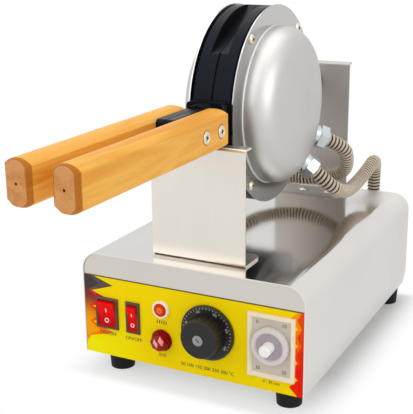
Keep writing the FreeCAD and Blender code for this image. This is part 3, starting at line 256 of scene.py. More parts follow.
def cast_black(name):
    """Non-stick coat on a cast plate."""
    dark, light = (0.004, 0.004, 0.006), (0.010, 0.010, 0.014)
    made = Finish(name, Specular_IOR_Level=0.10, Specular_Tint=(0.60, 0.72, 1.0, 1.0))
    grit = made.noise(made.place, scale=1500.0, detail=3.0)
    cloud = made.noise(made.place, scale=45.0, detail=3.0)
    made.surface(made.mix(cloud, dark, light), rough=0.26, spread=0.14, pattern=cloud)
    made.bump(grit, strength=0.10, distance=0.4 * mm)
    return made.material


def beech(name, end_y):
    """Varnished beech: grain along the handle, darker bevels and end grain at its front."""
    brown, gold, fleck_brown = (0.74, 0.275, 0.014), (0.97, 0.53, 0.100), (0.42, 0.135, 0.012)
    end_dark, end_light, bevel_brown = (0.50, 0.20, 0.055), (0.74, 0.35, 0.13), (0.36, 0.082, 0.003)
    ring_waves = 30.0
    made = Finish(name, Coat_Weight=0.10, Coat_Roughness=0.25, Specular_IOR_Level=0.10)
    x, y, z = made.axes()
    wander = made.noise(made.stretched((1.0, 0.07, 1.0)), scale=34.0, detail=3.0, warp=0.5)
    fibres = made.noise(made.stretched((1.0, 0.025, 1.0)), scale=420.0, detail=3.0)
    flecks = made.noise(made.stretched((1.0, 0.12, 1.0)), scale=900.0)
    pores = made.noise(made.place, scale=1300.0)
    rings = (wander * ring_waves).sine() * 0.5 + 0.5
    long_grain = made.mix(rings.towards(fibres, share=0.5), brown, gold)
    long_grain = made.mix(flecks.step(0.58, 0.74) * 0.16, long_grain, fleck_brown)
    end_grain = made.mix(pores.towards(rings, share=0.4), end_dark, end_light)
    on_bevel = y.falls(end_y + 3.6 * mm, end_y + 4.6 * mm)
    on_end = y.falls(end_y + 0.3 * mm, end_y + 0.9 * mm)
    colour = made.mix(on_bevel * 0.80, long_grain, bevel_brown)
    made.surface(made.mix(on_end, colour, end_grain), rough=0.36, spread=0.16, pattern=fibres)
    made.bump(fibres, strength=0.10, distance=0.3 * mm)
    return made.material


def moulded(name, colour, rough, vary=0.12, shine=0.25):
    """Moulded plastic or rubber with a fine skin, its colour varied by a share."""
    made = Finish(name, Specular_IOR_Level=shine)
    skin = made.noise(made.place, scale=700.0)
    cloud = made.noise(made.place, scale=60.0)
    darker = tuple(c * (1.0 - vary) for c in colour)
    lighter = tuple(min(1.0, c * (1.0 + vary)) for c in colour)
    made.surface(made.mix(cloud, darker, lighter), rough, spread=0.08, pattern=skin - 0.5)
    made.bump(skin, strength=0.05)
    return made.material


def two_tone(name, middle, edge, blur, inner, outer, rough, shine):
    """Round moulding seen from the front: one colour inside a radius, another outside it."""
    outer_shade = tuple(c * 0.6 for c in outer)
    made = Finish(name, Specular_IOR_Level=shine)
    right, up = made.offsets(middle)
    skin = made.noise(made.place, scale=700.0)
    colour = made.mix(right.hypot(up).step(edge - blur, edge + blur), inner, outer)
    made.surface(made.mix(skin * 0.12, colour, outer_shade), rough, spread=0.08, pattern=skin - 0.5)
    made.bump(skin, strength=0.04)
    return made.material


def lens_with_painted_glow(name, middle, rim):
    """Lamp lens with a painted glow: a bright ring round its bulb, dark red at its rim."""
    # painted glow: the bright orange ring round the bulb
    stops = [(0.0, (0.62, 0.055, 0.004)), (0.28, (0.95, 0.22, 0.012)), (0.48, (0.72, 0.030, 0.004)),
             (0.78, (0.58, 0.010, 0.003)), (1.0, (0.22, 0.006, 0.003))]
    orange = (0.80, 0.10, 0.01)
    made = Finish(name, Specular_IOR_Level=0.12)
    right, up = made.offsets(middle)
    skin = made.noise(made.place, scale=900.0)
    colour = made.start.node("ShaderNodeValToRGB", {"Fac": right.hypot(up) / rim}, stops=stops)
    made.surface(made.mix(skin * 0.12, colour, orange), rough=0.16, spread=0.08, pattern=skin)
    return made.material


def jewel(name, middle):
    """Faceted lens of dark red, with two pale leaning diamonds painted on it as highlights."""
    dark, red, painted_highlight_pink = (0.16, 0.002, 0.003), (0.42, 0.004, 0.007), (0.90, 0.38, 0.34)
    half_width, half_height, lean = 2.7 * mm, 4.7 * mm, 0.35
    made = Finish(name, Specular_IOR_Level=0.14)
    right, up = made.offsets(middle)
    leaned = right + up * lean
    skin = made.noise(made.place, scale=700.0)
    painted_highlights = []
    # painted highlights: two pale leaning diamonds
    for shift, rise, strength in ((-1.3 * mm, 0.3 * mm, 1.0), (5.0 * mm, 3.0 * mm, 0.95)):
        from_middle = abs(leaned - shift) / half_width + abs(up - rise) / half_height
        painted_highlights.append(from_middle.falls(0.88, 1.02) * strength)
    tone = made.start.node("ShaderNodeTexVoronoi", {"Vector": made.place, "Scale": 190.0}, out="Color")
    colour = made.mix(painted_highlights[0].larger(painted_highlights[1]), made.mix(tone.parts()[0], dark, red), painted_highlight_pink)
    made.surface(colour, rough=0.12, spread=0.08, pattern=skin)
    return made.material


def rocker_red(name):
    """Gloss red rocker, with painted light: brighter towards its upper end, darker towards its lower end.
    """
    deep, bright, mottle = (0.56, 0.003, 0.004), (0.90, 0.004, 0.003), (0.60, 0.004, 0.003)
    made = Finish(name, Specular_IOR_Level=0.04)
    x, y, z = made.axes()
    skin = made.noise(made.place, scale=500.0)
    # painted light: dark red at the lower end rising to bright red at the upper end
    colour = made.mix((z - rocker_z).step(-12.0 * mm, 4.0 * mm), deep, bright)
    made.surface(made.mix(skin * 0.15, colour, mottle), rough=0.22, spread=0.08, pattern=skin)
    made.bump(skin, strength=0.03)
    return made.material


def plated(name, dark, light, rough):
    """Zinc or turned metal with faint clouds."""
    made = Finish(name, Metallic=1.0)
    cloud = made.noise(made.place, scale=55.0)
    fine = made.noise(made.place, scale=1600.0)
    made.surface(made.mix(cloud, dark, light), rough, spread=0.10, pattern=cloud)
    made.bump(fine, strength=0.04)
    return made.material


def ribbed_steel(name):
    """Wound strip: pale crowns, dark seams between the turns, their darkness partly the joint and partly
    painted shade in the groove.
    """
    dark, light, seam = (0.44, 0.365, 0.280), (0.70, 0.605, 0.485), (0.050, 0.030, 0.018)
    made = Finish(name, Metallic=0.25, Specular_IOR_Level=0.15)
    height = made.start.node("ShaderNodeAttribute", out="Fac", attribute_name="rib")
    cloud = made.noise(made.place, scale=160.0, detail=3.0)
    # the seam colour in the grooves is partly painted shade
    colour = made.mix(height.step(0.25, 0.85), seam, made.mix(cloud, dark, light))
    made.surface(colour, rough=0.42, spread=0.18, pattern=cloud)
    return made.material


def printed_panel(name):
    """Printed overlay: yellow field with plain borders of pennants at its two ends."""
    yellow, lemon, deep_yellow = (0.92, 0.70, 0.001), (0.90, 0.86, 0.001), (0.94, 0.72, 0.002)
    orange, scarlet, soot = (0.95, 0.20, 0.003), (0.86, 0.012, 0.003), (0.11, 0.085, 0.075)
    amber, dark_soot, top_line = (0.96, 0.42, 0.004), (0.055, 0.042, 0.038), (0.16, 0.12, 0.03)
    red, tangerine, deep_red = (0.90, 0.016, 0.003), (0.95, 0.32, 0.003), (0.80, 0.012, 0.003)
    pennants = 5.0
    low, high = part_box("control_overlay")
    made = Finish(name, Specular_IOR_Level=0.03)
    x, y, z = made.axes()
    from_left = x - low.x
    from_right = high.x - x
    height = (z - low.z) / (high.z - low.z)
    cloud = made.noise(made.place, scale=30.0, detail=3.0)
    tooth = 1.0 - abs((height * pennants).fraction() * 2.0 - 1.0)
    reach = height.step(0.12, 0.30)

    def border(distance, edge, blur):
        """1 between an end of the overlay and the edge of its border."""
        return (distance - edge).falls(-blur, blur)

    left_tips = border(from_left, (8.0 * mm + 24.0 * mm * tooth) * reach, blur=0.4 * mm)
    left_inner = border(from_left, (4.0 * mm + 12.0 * mm * tooth) * reach, blur=0.3 * mm)
    right_tips = border(from_right, 5.0 * mm + 8.0 * mm * tooth, blur=0.4 * mm)
    right_inner = border(from_right, 2.0 * mm + 4.0 * mm * tooth, blur=0.3 * mm)
    low_left = from_left.falls(10.0 * mm, 80.0 * mm) * height.falls(0.05, 0.55)
    colour = made.mix(low_left, yellow, lemon)
    colour = made.mix(cloud * 0.25, colour, deep_yellow)
    warm = made.mix(height.step(0.25, 0.70), orange, scarlet)
    colour = made.mix(left_tips, colour, made.mix(height.step(0.72, 0.86), warm, soot))
    colour = made.mix(left_inner * 0.75, colour, made.mix(height.step(0.40, 0.75), amber, dark_soot))
    colour = made.mix(right_tips, colour, made.mix(height.step(0.30, 0.95), red, tangerine))
    colour = made.mix(right_inner * 0.8, colour, deep_red)
    colour = made.mix(height > 0.988, colour, top_line)
    made.surface(colour, rough=0.36, spread=0.10, pattern=cloud)
    return made.material


rear_right = ((46.0 * mm, 66.0 * mm), (150.0 * mm, 215.0 * mm), 0.34)
ring_dark, ring_light = (0.50, 0.49, 0.48), (0.62, 0.61, 0.60)

finishes = {
    "shell": brushed_steel("satin_shell", (0.70, 0.675, 0.645), (0.82, 0.795, 0.765),
                           rough=0.09, spread=0.07, grain=grain_y, dull_corner=rear_right),
    "front": brushed_steel("satin_front", (0.58, 0.55, 0.50), (0.70, 0.665, 0.61),
                           rough=0.16, spread=0.10, grain=grain_x),
    "upright": brushed_steel("satin_upright", (0.70, 0.66, 0.59), (0.82, 0.78, 0.71),
                             rough=0.26, spread=0.10, grain=grain_z),
    # painted shade: the rear stand's steel is darker and less metallic than the other satin steel
    "rear_upright_painted_shade": brushed_steel("satin_rear_stand_painted_shade", (0.44, 0.41, 0.38), (0.60, 0.56, 0.525),
                                  rough=0.40, spread=0.12, grain=grain_z, metal=0.55),
    "dome": spun_steel("spun_dome", (0.54, 0.53, 0.515), (0.66, 0.645, 0.625), rough=0.43),
    # the right ring's finish carries painted shade on its low front; the left ring's is the same without it
    "ring": spun_steel("turned_ring", ring_dark, ring_light, rough=0.16, shade=0.58),
    "left_ring": spun_steel("left_turned_ring", ring_dark, ring_light, rough=0.16),
    "cast": cast_black("cast_black"),
    "beech": beech("varnished_beech", end_y=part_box("right_handle")[0].y),
    "rubber": moulded("black_rubber", (0.009, 0.009, 0.009), rough=0.62, shine=0.2),
    "print": printed_panel("printed_panel"),
    "zinc": plated("zinc_plate", (0.50, 0.545, 0.56), (0.64, 0.69, 0.70), rough=0.34),
    "steel": plated("turned_steel", (0.50, 0.50, 0.50), (0.70, 0.70, 0.70), rough=0.24),
    "screw": plated("screw_steel", (0.62, 0.55, 0.43), (0.84, 0.77, 0.63), rough=0.28),
    "bronze": plated("bush_bronze", (0.30, 0.25, 0.18), (0.44, 0.38, 0.29), rough=0.34),
    "hot_steel": plated("heated_steel", (0.18, 0.15, 0.13), (0.34, 0.30, 0.26), rough=0.40),
    "frame": moulded("switch_frame", (0.100, 0.056, 0.038), rough=0.36),
    "red": rocker_red("rocker_red"),
    "garnet": jewel("garnet_lens", alarm_lamp),
    "amber": lens_with_painted_glow("amber_lens", heat_lamp, rim=7.2 * mm),
    "cream": moulded("cream_plastic", (0.88, 0.79, 0.60), rough=0.38, vary=0.05),
    "beige": moulded("beige_face", (0.60, 0.54, 0.46), rough=0.50, vary=0.08),
    "white": moulded("white_plastic", (0.92, 0.92, 0.90), rough=0.34, vary=0.04),
    "ivory": moulded("ivory_bezel", (0.90, 0.82, 0.60), rough=0.34, vary=0.05),
    "dial": two_tone("timer_dial", dial_middle, edge=12.6 * mm, blur=0.5 * mm, inner=(0.40, 0.355, 0.40),
                     outer=(0.70, 0.655, 0.645), rough=0.36, shine=0.25),
    "knob": moulded("knob_black", (0.014, 0.013, 0.012), rough=0.32, shine=0.3),
    "hub": plated("hub_disc", (0.24, 0.24, 0.24), (0.40, 0.40, 0.40), rough=0.36),
    "inner": moulded("inner_plastic", (0.03, 0.03, 0.032), rough=0.45),
    "inner_cream": moulded("inner_cream", (0.62, 0.58, 0.48), rough=0.45),
    "ribs": ribbed_steel("wound_strip"),
    # print colour on the marks, and painted shade in the screws' recesses and the hub's slot
    "ink_and_recess_shade": moulded("dark_ink_and_recess_shade", (0.030, 0.020, 0.012), rough=0.50),
    "pale_ink": moulded("pale_ink", (0.62, 0.60, 0.56), rough=0.45),
    "grey_ink": moulded("grey_ink", (0.30, 0.28, 0.27), rough=0.45),
}

worn = {
    "shell": ["base_shell", "rear_panel", "bottom_cover"],
    "front": ["front_plate"],
    "upright": ["front_stand"],
    "rear_upright_painted_shade": ["rear_stand"],
    "dome": ["right_dome", "left_dome"],
    "ring": ["right_cover_ring"],
    "left_ring": ["left_cover_ring"],
    "cast": ["right_plate", "left_plate"],
    "beech": ["right_handle", "left_handle"],
    "rubber": ["feet"],
    "print": ["control_overlay"],
    "zinc": ["right_glands", "left_gland", "conduit_elbow", "axle_nut"],
    "steel": ["foot_screws", "front_stand_bolts", "rear_stand_bolts", "roll_axle", "hinge_pin"],
    "screw": ["right_cover_screws", "left_cover_screws", "right_handle_screws", "left_handle_screws"],
    "bronze": ["axle_bush"],
    "hot_steel": ["right_heater", "left_heater", "right_heater_clamp", "left_heater_clamp"],
    "frame": ["power_switch_housing", "alarm_switch_housing"],
    "red": ["power_rocker", "alarm_rocker"],
    "garnet": ["alarm_lamp_bezel", "alarm_lamp_lens"],
    "amber": ["heat_lamp_lens"],
    "cream": ["timer_bezel"],
    "beige": ["timer_face"],
    "white": ["timer_button"],
    "ivory": ["heat_lamp_bezel"],
    "dial": ["timer_dial"],
    "knob": ["temperature_knob"],
    "hub": ["temperature_knob_hub"],
    "inner": ["mains_cord_gland", "thermostat", "relay", "buzzer"],
    "inner_cream": ["timer_body", "terminal_block"],
    "ribs": ["supply_conduit", "link_conduit"],
}
for finish, names in worn.items():
    for name in names:
        nodes[name].data.materials.clear()
        nodes[name].data.materials.append(finishes[finish])


# Mesh helpers

def put(name, data, finish=None):
    """A new object in the scene, at the origin. A piece has its place in its mesh."""
    made = bpy.data.objects.new(name, data)
    scene.collection.objects.link(made)
    if finish:
        data.materials.append(finishes[finish])
    return made


def taken(helper):
    """The evaluated mesh of a helper object, which is then removed with its modifiers."""
    mesh = bpy.data.meshes.new_from_object(helper.evaluated_get(bpy.context.evaluated_depsgraph_get()))
    bpy.data.objects.remove(helper)
    return mesh


def to_mesh(form, name):
    mesh = bpy.data.meshes.new(name)
    form.to_mesh(mesh)
    form.free()
    return mesh


def branch(tree_name, *inputs):
    """A Geometry Nodes tree with named number inputs, and their wires by name."""
    tree = bpy.data.node_groups.new(tree_name, "GeometryNodeTree")
    tree.interface.new_socket("Geometry", in_out="INPUT", socket_type="NodeSocketGeometry")
    for name in inputs:
        tree.interface.new_socket(name, in_out="INPUT", socket_type="NodeSocketFloat")
    tree.interface.new_socket("Geometry", in_out="OUTPUT", socket_type="NodeSocketGeometry")
    return tree, Wire(tree).node("NodeGroupInput").every()


def grown(name, mesh, tree, **sizes):
    """The plain mesh that a tree makes of a mesh, with its inputs set by identifier."""
    carrier = put(name, mesh)
    modifier = carrier.modifiers.new("grow", "NODES")
    modifier.node_group = tree
    for item in tree.interface.items_tree:
        if item.item_type == "SOCKET" and item.in_out == "INPUT" and item.name in sizes:
            modifier[item.identifier] = sizes[item.name]
    return taken(carrier)


def close_tree(wire, finish, recess_shade_finish=None):
    """Ends a tree in Realize Instances and Set Material. Faces named sunk may get another finish, a dark
    one that is painted shade in a recess.
    """
    made = wire.node("GeometryNodeRealizeInstances", {"Geometry": wire})
    made = wire.node("GeometryNodeSetMaterial", {"Geometry": made, "Material": finishes[finish]})
    if recess_shade_finish:
        sunk = wire.node("GeometryNodeInputNamedAttribute", {"Name": "sunk"}, data_type="FLOAT")
        made = wire.node("GeometryNodeSetMaterial", {"Geometry": made, "Selection": sunk > 0.5,
                                                     "Material": finishes[recess_shade_finish]})
    wire.node("NodeGroupOutput", {"Geometry": made})


# Camera

camera_at = (0.3756, -0.7659, 0.4159)
camera_right = (0.8900, 0.4558, -0.0104)
camera_up = (-0.1212, 0.2585, 0.9583)
camera_back = (0.4395, -0.8517, 0.2853)
camera = put("camera", bpy.data.cameras.new("camera"))
camera.matrix_world = (Matrix.Translation(camera_at)
                       @ Matrix((camera_right, camera_up, camera_back)).transposed().to_4x4())
camera.data.lens = 80.92
camera.data.clip_start = 0.01
camera.data.clip_end = 30.0
scene.camera = camera


# Conduits

rib_pitch = 4.2 * mm
rib_steps = 10
crown_share, seam_share = 0.36, 0.86
conduit_radius = 7.5 * mm
conduit_groove = 1.7 * mm
conduit_sides = 28


def conduit_tree():
    """A ribbed tube along a line: rounded crowns with a seam at each pitch."""
    tree, given = branch("conduit_ribs", "Radius", "Groove", "Pitch")
    line = given["Geometry"].node("GeometryNodeMeshToCurve", {"Mesh": given["Geometry"]})
    fine = line.node("GeometryNodeResampleCurve", {"Curve": line, "Length": given["Pitch"] / rib_steps},
                     mode="LENGTH")
    along = fine.node("GeometryNodeSplineParameter", out="Length")
    from_crown = abs((along / given["Pitch"]).fraction() * 2.0 - 1.0)
    height = from_crown.falls(crown_share, seam_share)
    thick = given["Radius"] - given["Groove"] * (1.0 - height)
    kept = fine.node("GeometryNodeStoreNamedAttribute", {"Geometry": fine, "Name": "rib", "Value": height},
                     data_type="FLOAT", domain="POINT")
    circle = fine.node("GeometryNodeCurvePrimitiveCircle", {"Resolution": conduit_sides, "Radius": 1.0})
    tube = fine.node("GeometryNodeCurveToMesh", {"Curve": kept, "Profile Curve": circle, "Scale": thick,
                                                 "Fill Caps": True})
    close_tree(tube, "ribs")
    return tree


def route_line(name, points):
    """Points read from a smooth spline with the route's points as its control points."""
    curve = bpy.data.curves.new(name, "CURVE")
    curve.dimensions = "3D"
    curve.resolution_u = 24
    spline = curve.splines.new("NURBS")
    spline.points.add(len(points) - 1)
    for point, place in zip(spline.points, points):
        point.co = (*place, 1.0)
    spline.order_u = 3
    spline.use_endpoint_u = True
    return taken(put(name, curve))


ribs = conduit_tree()


def conduit(name, node, route):
    """A ribbed conduit on a route in mm, in place of a CAD node."""
    points = [Vector(point) * mm for point in route]
    line = route_line(name + "_line", points)
    mesh = grown(name + "_guide", line, ribs, Radius=conduit_radius, Groove=conduit_groove, Pitch=rib_pitch)
    mesh.shade_smooth()
    piece = put(name, mesh)
    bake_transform(piece)
    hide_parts(node)


supply_route = [(51.5, 102.0, 179.2), (67.5, 109.8, 163.2), (69, 128, 154.5), (68, 152, 146.7),
                (67, 175, 143.8), (67.5, 201, 146.5), (69, 228, 153.5), (69, 255, 160.5), (64, 271, 141),
                (64, 271, 113.5)]
link_route = [(51.5, 133.5, 206.6), (67.5, 148.2, 196.6), (66.5, 162, 180.5), (60.5, 175, 164.5),
              (45, 184, 154), (20, 189, 147.5), (-10, 187, 146), (-33, 160, 147), (-36, 128, 147),
              (-61.6, 109.2, 164.5), (-46.9, 102.0, 179.2)]
conduit("supply_hose", "supply_conduit", supply_route)
conduit("link_hose", "link_conduit", link_route)


# Screws with a cross recess

head_sides = 36
cross_arm = 0.27        # half the width of the cross's arms, as a share of its reach
screw_spin = 1.5        # the most that a screw is turned, in radians
screw_seed = 4


def lathe(profile):
    """Closed round form from (along, radius) points, turned about X."""
    form = bmesh.new()
    rings = []
    for along, radius in profile:
        angles = [math.tau * i / head_sides for i in range(head_sides if radius else 1)]
        rings.append([form.verts.new((along, radius * math.cos(a), radius * math.sin(a))) for a in angles])
    for a, b in zip(rings, rings[1:]):
        for i in range(head_sides):
            j = (i + 1) % head_sides
            corners = [a[i % len(a)], a[j % len(a)], b[j % len(b)], b[i % len(b)]]
            unique = list(dict.fromkeys(corners))
            if len(unique) > 2:
                form.faces.new(unique)
    bmesh.ops.recalc_face_normals(form, faces=form.faces)
    return form


def cross_head(name, profile, reach, depth):
    """Screw head on X from a half outline in mm, with a cross recess of a reach and a depth.
    The recess's walls and floor are named sunk, so that they can take a dark finish as painted shade."""
    head = put(name, to_mesh(lathe([(along * mm, radius * mm) for along, radius in profile]), name))
    top = profile[-1][0] * mm
    cutter = bmesh.new()
    for long, thin in ((reach, reach * cross_arm), (reach * cross_arm, reach)):
        matrix = Matrix.Translation((top, 0, 0)) @ Matrix.Diagonal((2 * depth, 2 * long, 2 * thin, 1.0))
        bmesh.ops.create_cube(cutter, size=1.0, matrix=matrix)
    tool = put(name + "_cross", to_mesh(cutter, name + "_cross"))
    cut = head.modifiers.new("cross", "BOOLEAN")
    cut.operation = "DIFFERENCE"
    cut.solver = "EXACT"
    cut.use_self = True
    cut.object = tool
    mesh = taken(head)
    bpy.data.objects.remove(tool)
    sunk = mesh.attributes.new("sunk", "FLOAT", "FACE")
    just_past, wall_slope, floor_share = 1.02, 0.3, 0.6
    for face in mesh.polygons:
        within = math.hypot(face.center.y, face.center.z) < reach * just_past
        upright = abs(face.normal.x) < wall_slope
        deep = face.center.x < top - floor_share * depth
        sunk.data[face.index].value = float(within and (upright or deep))
    return mesh


def screw_tree(name, head, finish):
    """One screw head on every point, turned a little each by a fixed seed."""
    tree, given = branch(name, "Spin")
    start = given["Geometry"]
    source = start.node("GeometryNodeObjectInfo", {"Object": head}, out="Geometry")
    angle = start.node("FunctionNodeRandomValue", {"Min": 0.0, "Max": given["Spin"], "Seed": screw_seed},
                       out=1, data_type="FLOAT")
    turn = start.node("ShaderNodeCombineXYZ", {"X": angle})
    placed = start.node("GeometryNodeInstanceOnPoints",
                        {"Points": start, "Instance": source, "Rotation": turn})
    # the recess faces take a dark finish: painted shade in the cross
    close_tree(placed, finish, "ink_and_recess_shade")
    return tree


def screw_row(name, node, head_mesh, points, outward, body):
    """Screws at the given points, facing +X or -X, in place of a CAD node's screws."""
    mesh = head_mesh.copy()
    if outward < 0:
        mesh.transform(Matrix.Rotation(math.pi, 4, "Z"))
    head = put(name + "_head", mesh)
    places = bpy.data.meshes.new(name + "_places")
    places.from_pydata(points, [], [])
    made = grown(name + "_carrier", places, screw_tree(name + "_tree", head, "screw"), Spin=screw_spin)
    bpy.data.objects.remove(head)
    piece = put(name, made)
    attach(piece, body)
    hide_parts(node)


cover_profile = [(0.0, 0.0), (0.0, 4.8), (0.5, 4.75), (1.2, 4.3), (1.9, 3.4), (2.35, 2.2), (2.6, 0.0)]
cover_head = cross_head("cover_screw", cover_profile, reach=2.3 * mm, depth=1.3 * mm)
cover_face = 22.4 * mm
cover_circle = 88.5 * mm
cover_angles = [math.radians(angle) for angle in (51, 129, 231, 309)]
handle_profile = [(-1.2, 0.0), (-1.2, 5.7), (0.25, 5.7), (0.6, 5.4), (0.55, 4.7), (0.3, 4.3), (0.45, 4.1),
                  (0.75, 3.3), (0.9, 0.0)]
handle_head = cross_head("handle_screw", handle_profile, reach=2.4 * mm, depth=1.1 * mm)
handle_face = 31.7 * mm
handle_screws_y = (-98.0 * mm, -70.0 * mm)
for side, body, outward in (("right", "head", 1), ("left", "left_half", -1)):
    cover_places = [(cover_face * outward, disc_middle.y + cover_circle * math.cos(angle),
                     disc_middle.z + cover_circle * math.sin(angle)) for angle in cover_angles]
    screw_row(side + "_cover_crosses", side + "_cover_screws", cover_head, cover_places, outward, body)
    handle_places = [(handle_face * outward, y, disc_middle.z) for y in handle_screws_y]
    screw_row(side + "_handle_crosses", side + "_handle_screws", handle_head, handle_places, outward, body)


# Marks on the controls

letter_thick = 0.08 * mm
mark_thick = 0.12 * mm
tick_thick = 0.2 * mm
hoop_sides = 28


def standing(mesh, middle, turn=0.0):
    """Stands a flat mesh up at a place, facing the front and turned about its own middle."""
    mesh.transform(Matrix.Translation(middle) @ Matrix.Rotation(math.pi / 2, 4, "X")
                   @ Matrix.Rotation(turn, 4, "Z"))
    return mesh


def word(text, size):
    """Flat raised lettering, centred on the origin."""
    curve = bpy.data.curves.new(text, "FONT")
    curve.body = text
    curve.size = size
    curve.extrude = letter_thick
    curve.align_x = "CENTER"
    curve.align_y = "CENTER"
    return taken(put(text, curve))


def bar(width, height):
    form = bmesh.new()
    bmesh.ops.create_cube(form, size=1.0, matrix=Matrix.Diagonal((width, height, 2 * mark_thick, 1.0)))
    return to_mesh(form, "bar")


def hoop(outer, width):
    """Flat ring with an outer radius and a width."""
    form = bmesh.new()
    angles = [math.tau * i / hoop_sides for i in range(hoop_sides)]
    inner = outer - width
    rings = []
    for radius, z in ((outer, -mark_thick), (outer, mark_thick), (inner, mark_thick), (inner, -mark_thick)):
        rings.append([form.verts.new((radius * math.cos(a), radius * math.sin(a), z)) for a in angles])
    for a, b in zip(rings, rings[1:] + rings[:1]):
        for i in range(hoop_sides):
            j = (i + 1) % hoop_sides
            form.faces.new((a[i], a[j], b[j], b[i]))
    bmesh.ops.recalc_face_normals(form, faces=form.faces)
    return to_mesh(form, "hoop")


def joined(name, meshes, finish, body):
    """One piece of several flat marks, riding on a body."""
    form = bmesh.new()
    for mesh in meshes:
        form.from_mesh(mesh)
    piece = put(name, to_mesh(form, name), finish)
    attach(piece, body)


rocker_tilt = math.radians(8.0)
rocker_half = 12.25 * mm
rocker_dish = 1.7 * mm
rocker_face = -79.1 * mm
rocker_pivot_y = -75.0 * mm
stroke_width, stroke_height, stroke_up = 0.9 * mm, 4.0 * mm, 4.2 * mm
ring_radius, ring_width, ring_up = 2.4 * mm, 0.8 * mm, -6.5 * mm


def on_rocker(mesh, x, up):
    """Bends an upright mark to the dish of a rocker's face and tilts it with the rocker."""
    mesh.transform(Matrix.Rotation(math.pi / 2, 4, "X"))
    for vertex in mesh.vertices:
        rise = vertex.co.z + up
        vertex.co = (vertex.co.x + x, vertex.co.y + rocker_face - rocker_dish * (rise / rocker_half) ** 2,
                     rise + rocker_z)
    pivot = Matrix.Translation((x, rocker_pivot_y, rocker_z))
    mesh.transform(pivot @ Matrix.Rotation(rocker_tilt, 4, "X") @ pivot.inverted())
    return mesh


def rocker_marks(name, body, x, scale):
    """I and O on the two ends of a rocker."""
    stroke = on_rocker(bar(stroke_width * scale, stroke_height * scale), x, stroke_up)
    ring = on_rocker(hoop(ring_radius * scale, ring_width * scale), x, ring_up)
    joined(name, [stroke, ring], "white", body)


rocker_marks("power_marks", "power_rocker", power_x, scale=1.0)
rocker_marks("alarm_marks", "alarm_rocker", alarm_x, scale=0.85)


def tick_tree():
    """Short bars set round a ring of points, each along its radius."""
    tree, given = branch("dial_ticks", "Radius", "Long", "Wide", "Thick")
    start = given["Geometry"]
    size = start.node("ShaderNodeCombineXYZ", {"X": given["Long"], "Y": given["Wide"], "Z": given["Thick"]})
    block = start.node("GeometryNodeMeshCube", {"Size": size})
    place = start.node("GeometryNodeInputPosition")
    x, y, z = place.parts()
    turn = start.node("ShaderNodeCombineXYZ", {"Z": start.math("ARCTAN2", y, x)})
    spread = start.node("ShaderNodeVectorMath", {0: place, "Scale": given["Radius"]}, operation="SCALE")
    ringed = start.node("GeometryNodeSetPosition", {"Geometry": start, "Position": spread})
    placed = start.node("GeometryNodeInstanceOnPoints",
                        {"Points": ringed, "Instance": block, "Rotation": turn})
    close_tree(placed, "pale_ink")
    return tree


ticks = tick_tree()


def tick_ring(degrees, radius, long, wide):
    angles = [math.radians(angle) for angle in degrees]
    places = bpy.data.meshes.new("tick_places")
    places.from_pydata([(math.cos(angle), math.sin(angle), 0.0) for angle in angles], [], [])
    return grown("tick_carrier", places, ticks, Radius=radius, Long=long, Wide=wide, Thick=tick_thick)


knob_first, knob_step = 210.0, 48.0        # the first number's angle and the angle between two, in degrees
number_radius, number_size = 21.3 * mm, 2.9 * mm
knob_ticks = tick_ring(range(-30, 211, 8), radius=24.0 * mm, long=1.3 * mm, wide=0.35 * mm)
knob_marks = [standing(knob_ticks, knob_middle)]
for i, text in enumerate(("50", "100", "150", "200", "250", "300")):
    angle = math.radians(knob_first - knob_step * i)
    at = knob_middle + Vector((math.cos(angle), 0.0, math.sin(angle))) * number_radius
    knob_marks.append(standing(word(text, number_size), at, angle - math.pi / 2))
joined("knob_scale", knob_marks, "pale_ink", "temperature_knob")
# painted shade: a dark bar stands for the shade in the hub's slot
hub_slot = standing(bar(width=4.6 * mm, height=0.9 * mm), hub_face, turn=math.radians(-40.0))
joined("hub_slot", [hub_slot], "ink_and_recess_shade", "temperature_knob")

dial_ticks = tick_ring(range(0, 360, 30), radius=11.6 * mm, long=1.6 * mm, wide=0.4 * mm)
joined("dial_ticks", [standing(dial_ticks, dial_face)], "grey_ink", "timer_dial")
timer_marks = []
for text, x, z in (("0", -13.2, 22.2), ("10", 12.4, 22.2), ("30", -12.6, -21.8), ("20", 12.6, -21.8)):
    timer_marks.append(standing(word(text, size=4.6 * mm), timer_middle + Vector((x, 0.0, z)) * mm))
joined("timer_numbers", timer_marks, "ink_and_recess_shade", "base")

panel_words = (
    ("ON/OFF", 5.2 * mm, power_x, 44.6 * mm),
    ("ON/OFF", 5.0 * mm, alarm_x, 44.2 * mm),
    ("50 100 150 200 250 300 °C", 4.9 * mm, 19.0 * mm, 30.0 * mm),
    ("0 - 30 min", 4.0 * mm, timer_middle.x, 30.4 * mm),
    ("((o))", 4.6 * mm, alarm_lamp.x, 34.6 * mm))
panel_marks = []
for text, size, x, z in panel_words:
    panel_marks.append(standing(word(text, size), Vector((x, panel_face, z))))
heat_bars_z, heat_bar_pitch = 67.4 * mm, 2.4 * mm
for i in range(-2, 3):
    at = Vector((heat_lamp.x + i * heat_bar_pitch, panel_face, heat_bars_z))
    panel_marks.append(standing(bar(width=0.8 * mm, height=3.4 * mm), at))
joined("panel_marks", panel_marks, "ink_and_recess_shade", "base")


# Floor and light

floor_half = 12.0
base_middle_y, base_half_width, base_half_depth = 84.0 * mm, 114.0 * mm, 161.0 * mm
room_light = 0.45        # the world's strength for rays that don't show it
white = (1.0, 1.0, 1.0, 1.0)


def shown_white(start):
    """1 for the rays that show the background: those of the camera, of gloss and of glass."""
    rays = start.node("ShaderNodeLightPath").every()
    return rays["Is Camera Ray"].larger(rays["Is Glossy Ray"]).larger(rays["Is Transmission Ray"])


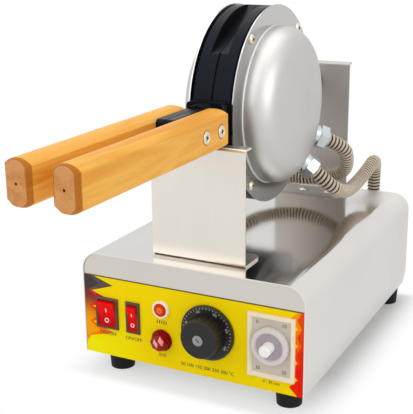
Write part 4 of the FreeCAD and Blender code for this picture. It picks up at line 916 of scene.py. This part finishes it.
def floor_finish():
    """Pale floor that keeps the shadow near the object and turns white away from it, and sooner
    before and behind the base than beside it. In front of the base the shadow is fainter."""
    dark, light = (0.88, 0.88, 0.88), (0.91, 0.91, 0.91)
    end_fade = 2.2
    least_glow, front_glow = 0.10, 0.46
    made = Finish("pale_floor", Roughness=0.8, Specular_IOR_Level=0.1)
    x, y, z = made.axes()
    beside = (abs(x) - base_half_width).larger(0.0)
    beyond = (abs(y - base_middle_y) - base_half_depth).larger(0.0) * end_fade
    away = beside.hypot(beyond)
    cloud = made.noise(made.place, scale=6.0)
    made.feed(Base_Color=made.mix(cloud, dark, light))
    glow = made.start.node("ShaderNodeEmission", {"Color": white, "Strength": 1.0})
    near = least_glow + front_glow * y.falls(-75.0 * mm, 30.0 * mm)
    share = (near + (1.0 - near) * away.step(-4.0 * mm, 34.0 * mm)) * shown_white(made.start)
    shaded = Wire(made.tree, made.shader.outputs[0])
    both = made.start.node("ShaderNodeMixShader", {0: share, 1: shaded, 2: glow})
    made.tree.links.new(both.out, made.tree.nodes["Material Output"].inputs["Surface"])
    return made.material


floor_form = bmesh.new()
bmesh.ops.create_grid(floor_form, x_segments=1, y_segments=1, size=floor_half)
floor = put("floor", to_mesh(floor_form, "floor"))
floor.data.materials.append(floor_finish())

world = bpy.data.worlds.new("studio")
scene.world = world
world.use_nodes = True
background = world.node_tree.nodes["Background"]
background.inputs["Color"].default_value = white
strength = shown_white(Wire(world.node_tree)) * (1.0 - room_light) + room_light
world.node_tree.links.new(strength.out, background.inputs["Strength"])


def softbox(name, at, to, size, power):
    """Soft rectangular lamp at a place, facing another."""
    lamp = bpy.data.lights.new(name, "AREA")
    lamp.shape = "RECTANGLE"
    lamp.size, lamp.size_y = size
    lamp.energy = power
    made = put(name, lamp)
    made.location = at
    made.rotation_mode = "QUATERNION"
    made.rotation_quaternion = (Vector(to) - Vector(at)).to_track_quat("-Z", "Y")


softbox("key_light", at=(-0.7, -1.3, 1.35), to=(0.0, 0.0, 0.15), size=(2.2, 2.2), power=16.4)
softbox("fill_light", at=(1.7, -0.5, 0.9), to=(0.0, 0.05, 0.2), size=(1.4, 1.2), power=10.0)
softbox("top_light", at=(0.0, 0.3, 1.9), to=(0.0, 0.0, 0.1), size=(2.0, 2.0), power=13.0)

scene.view_settings.view_transform = "Standard"
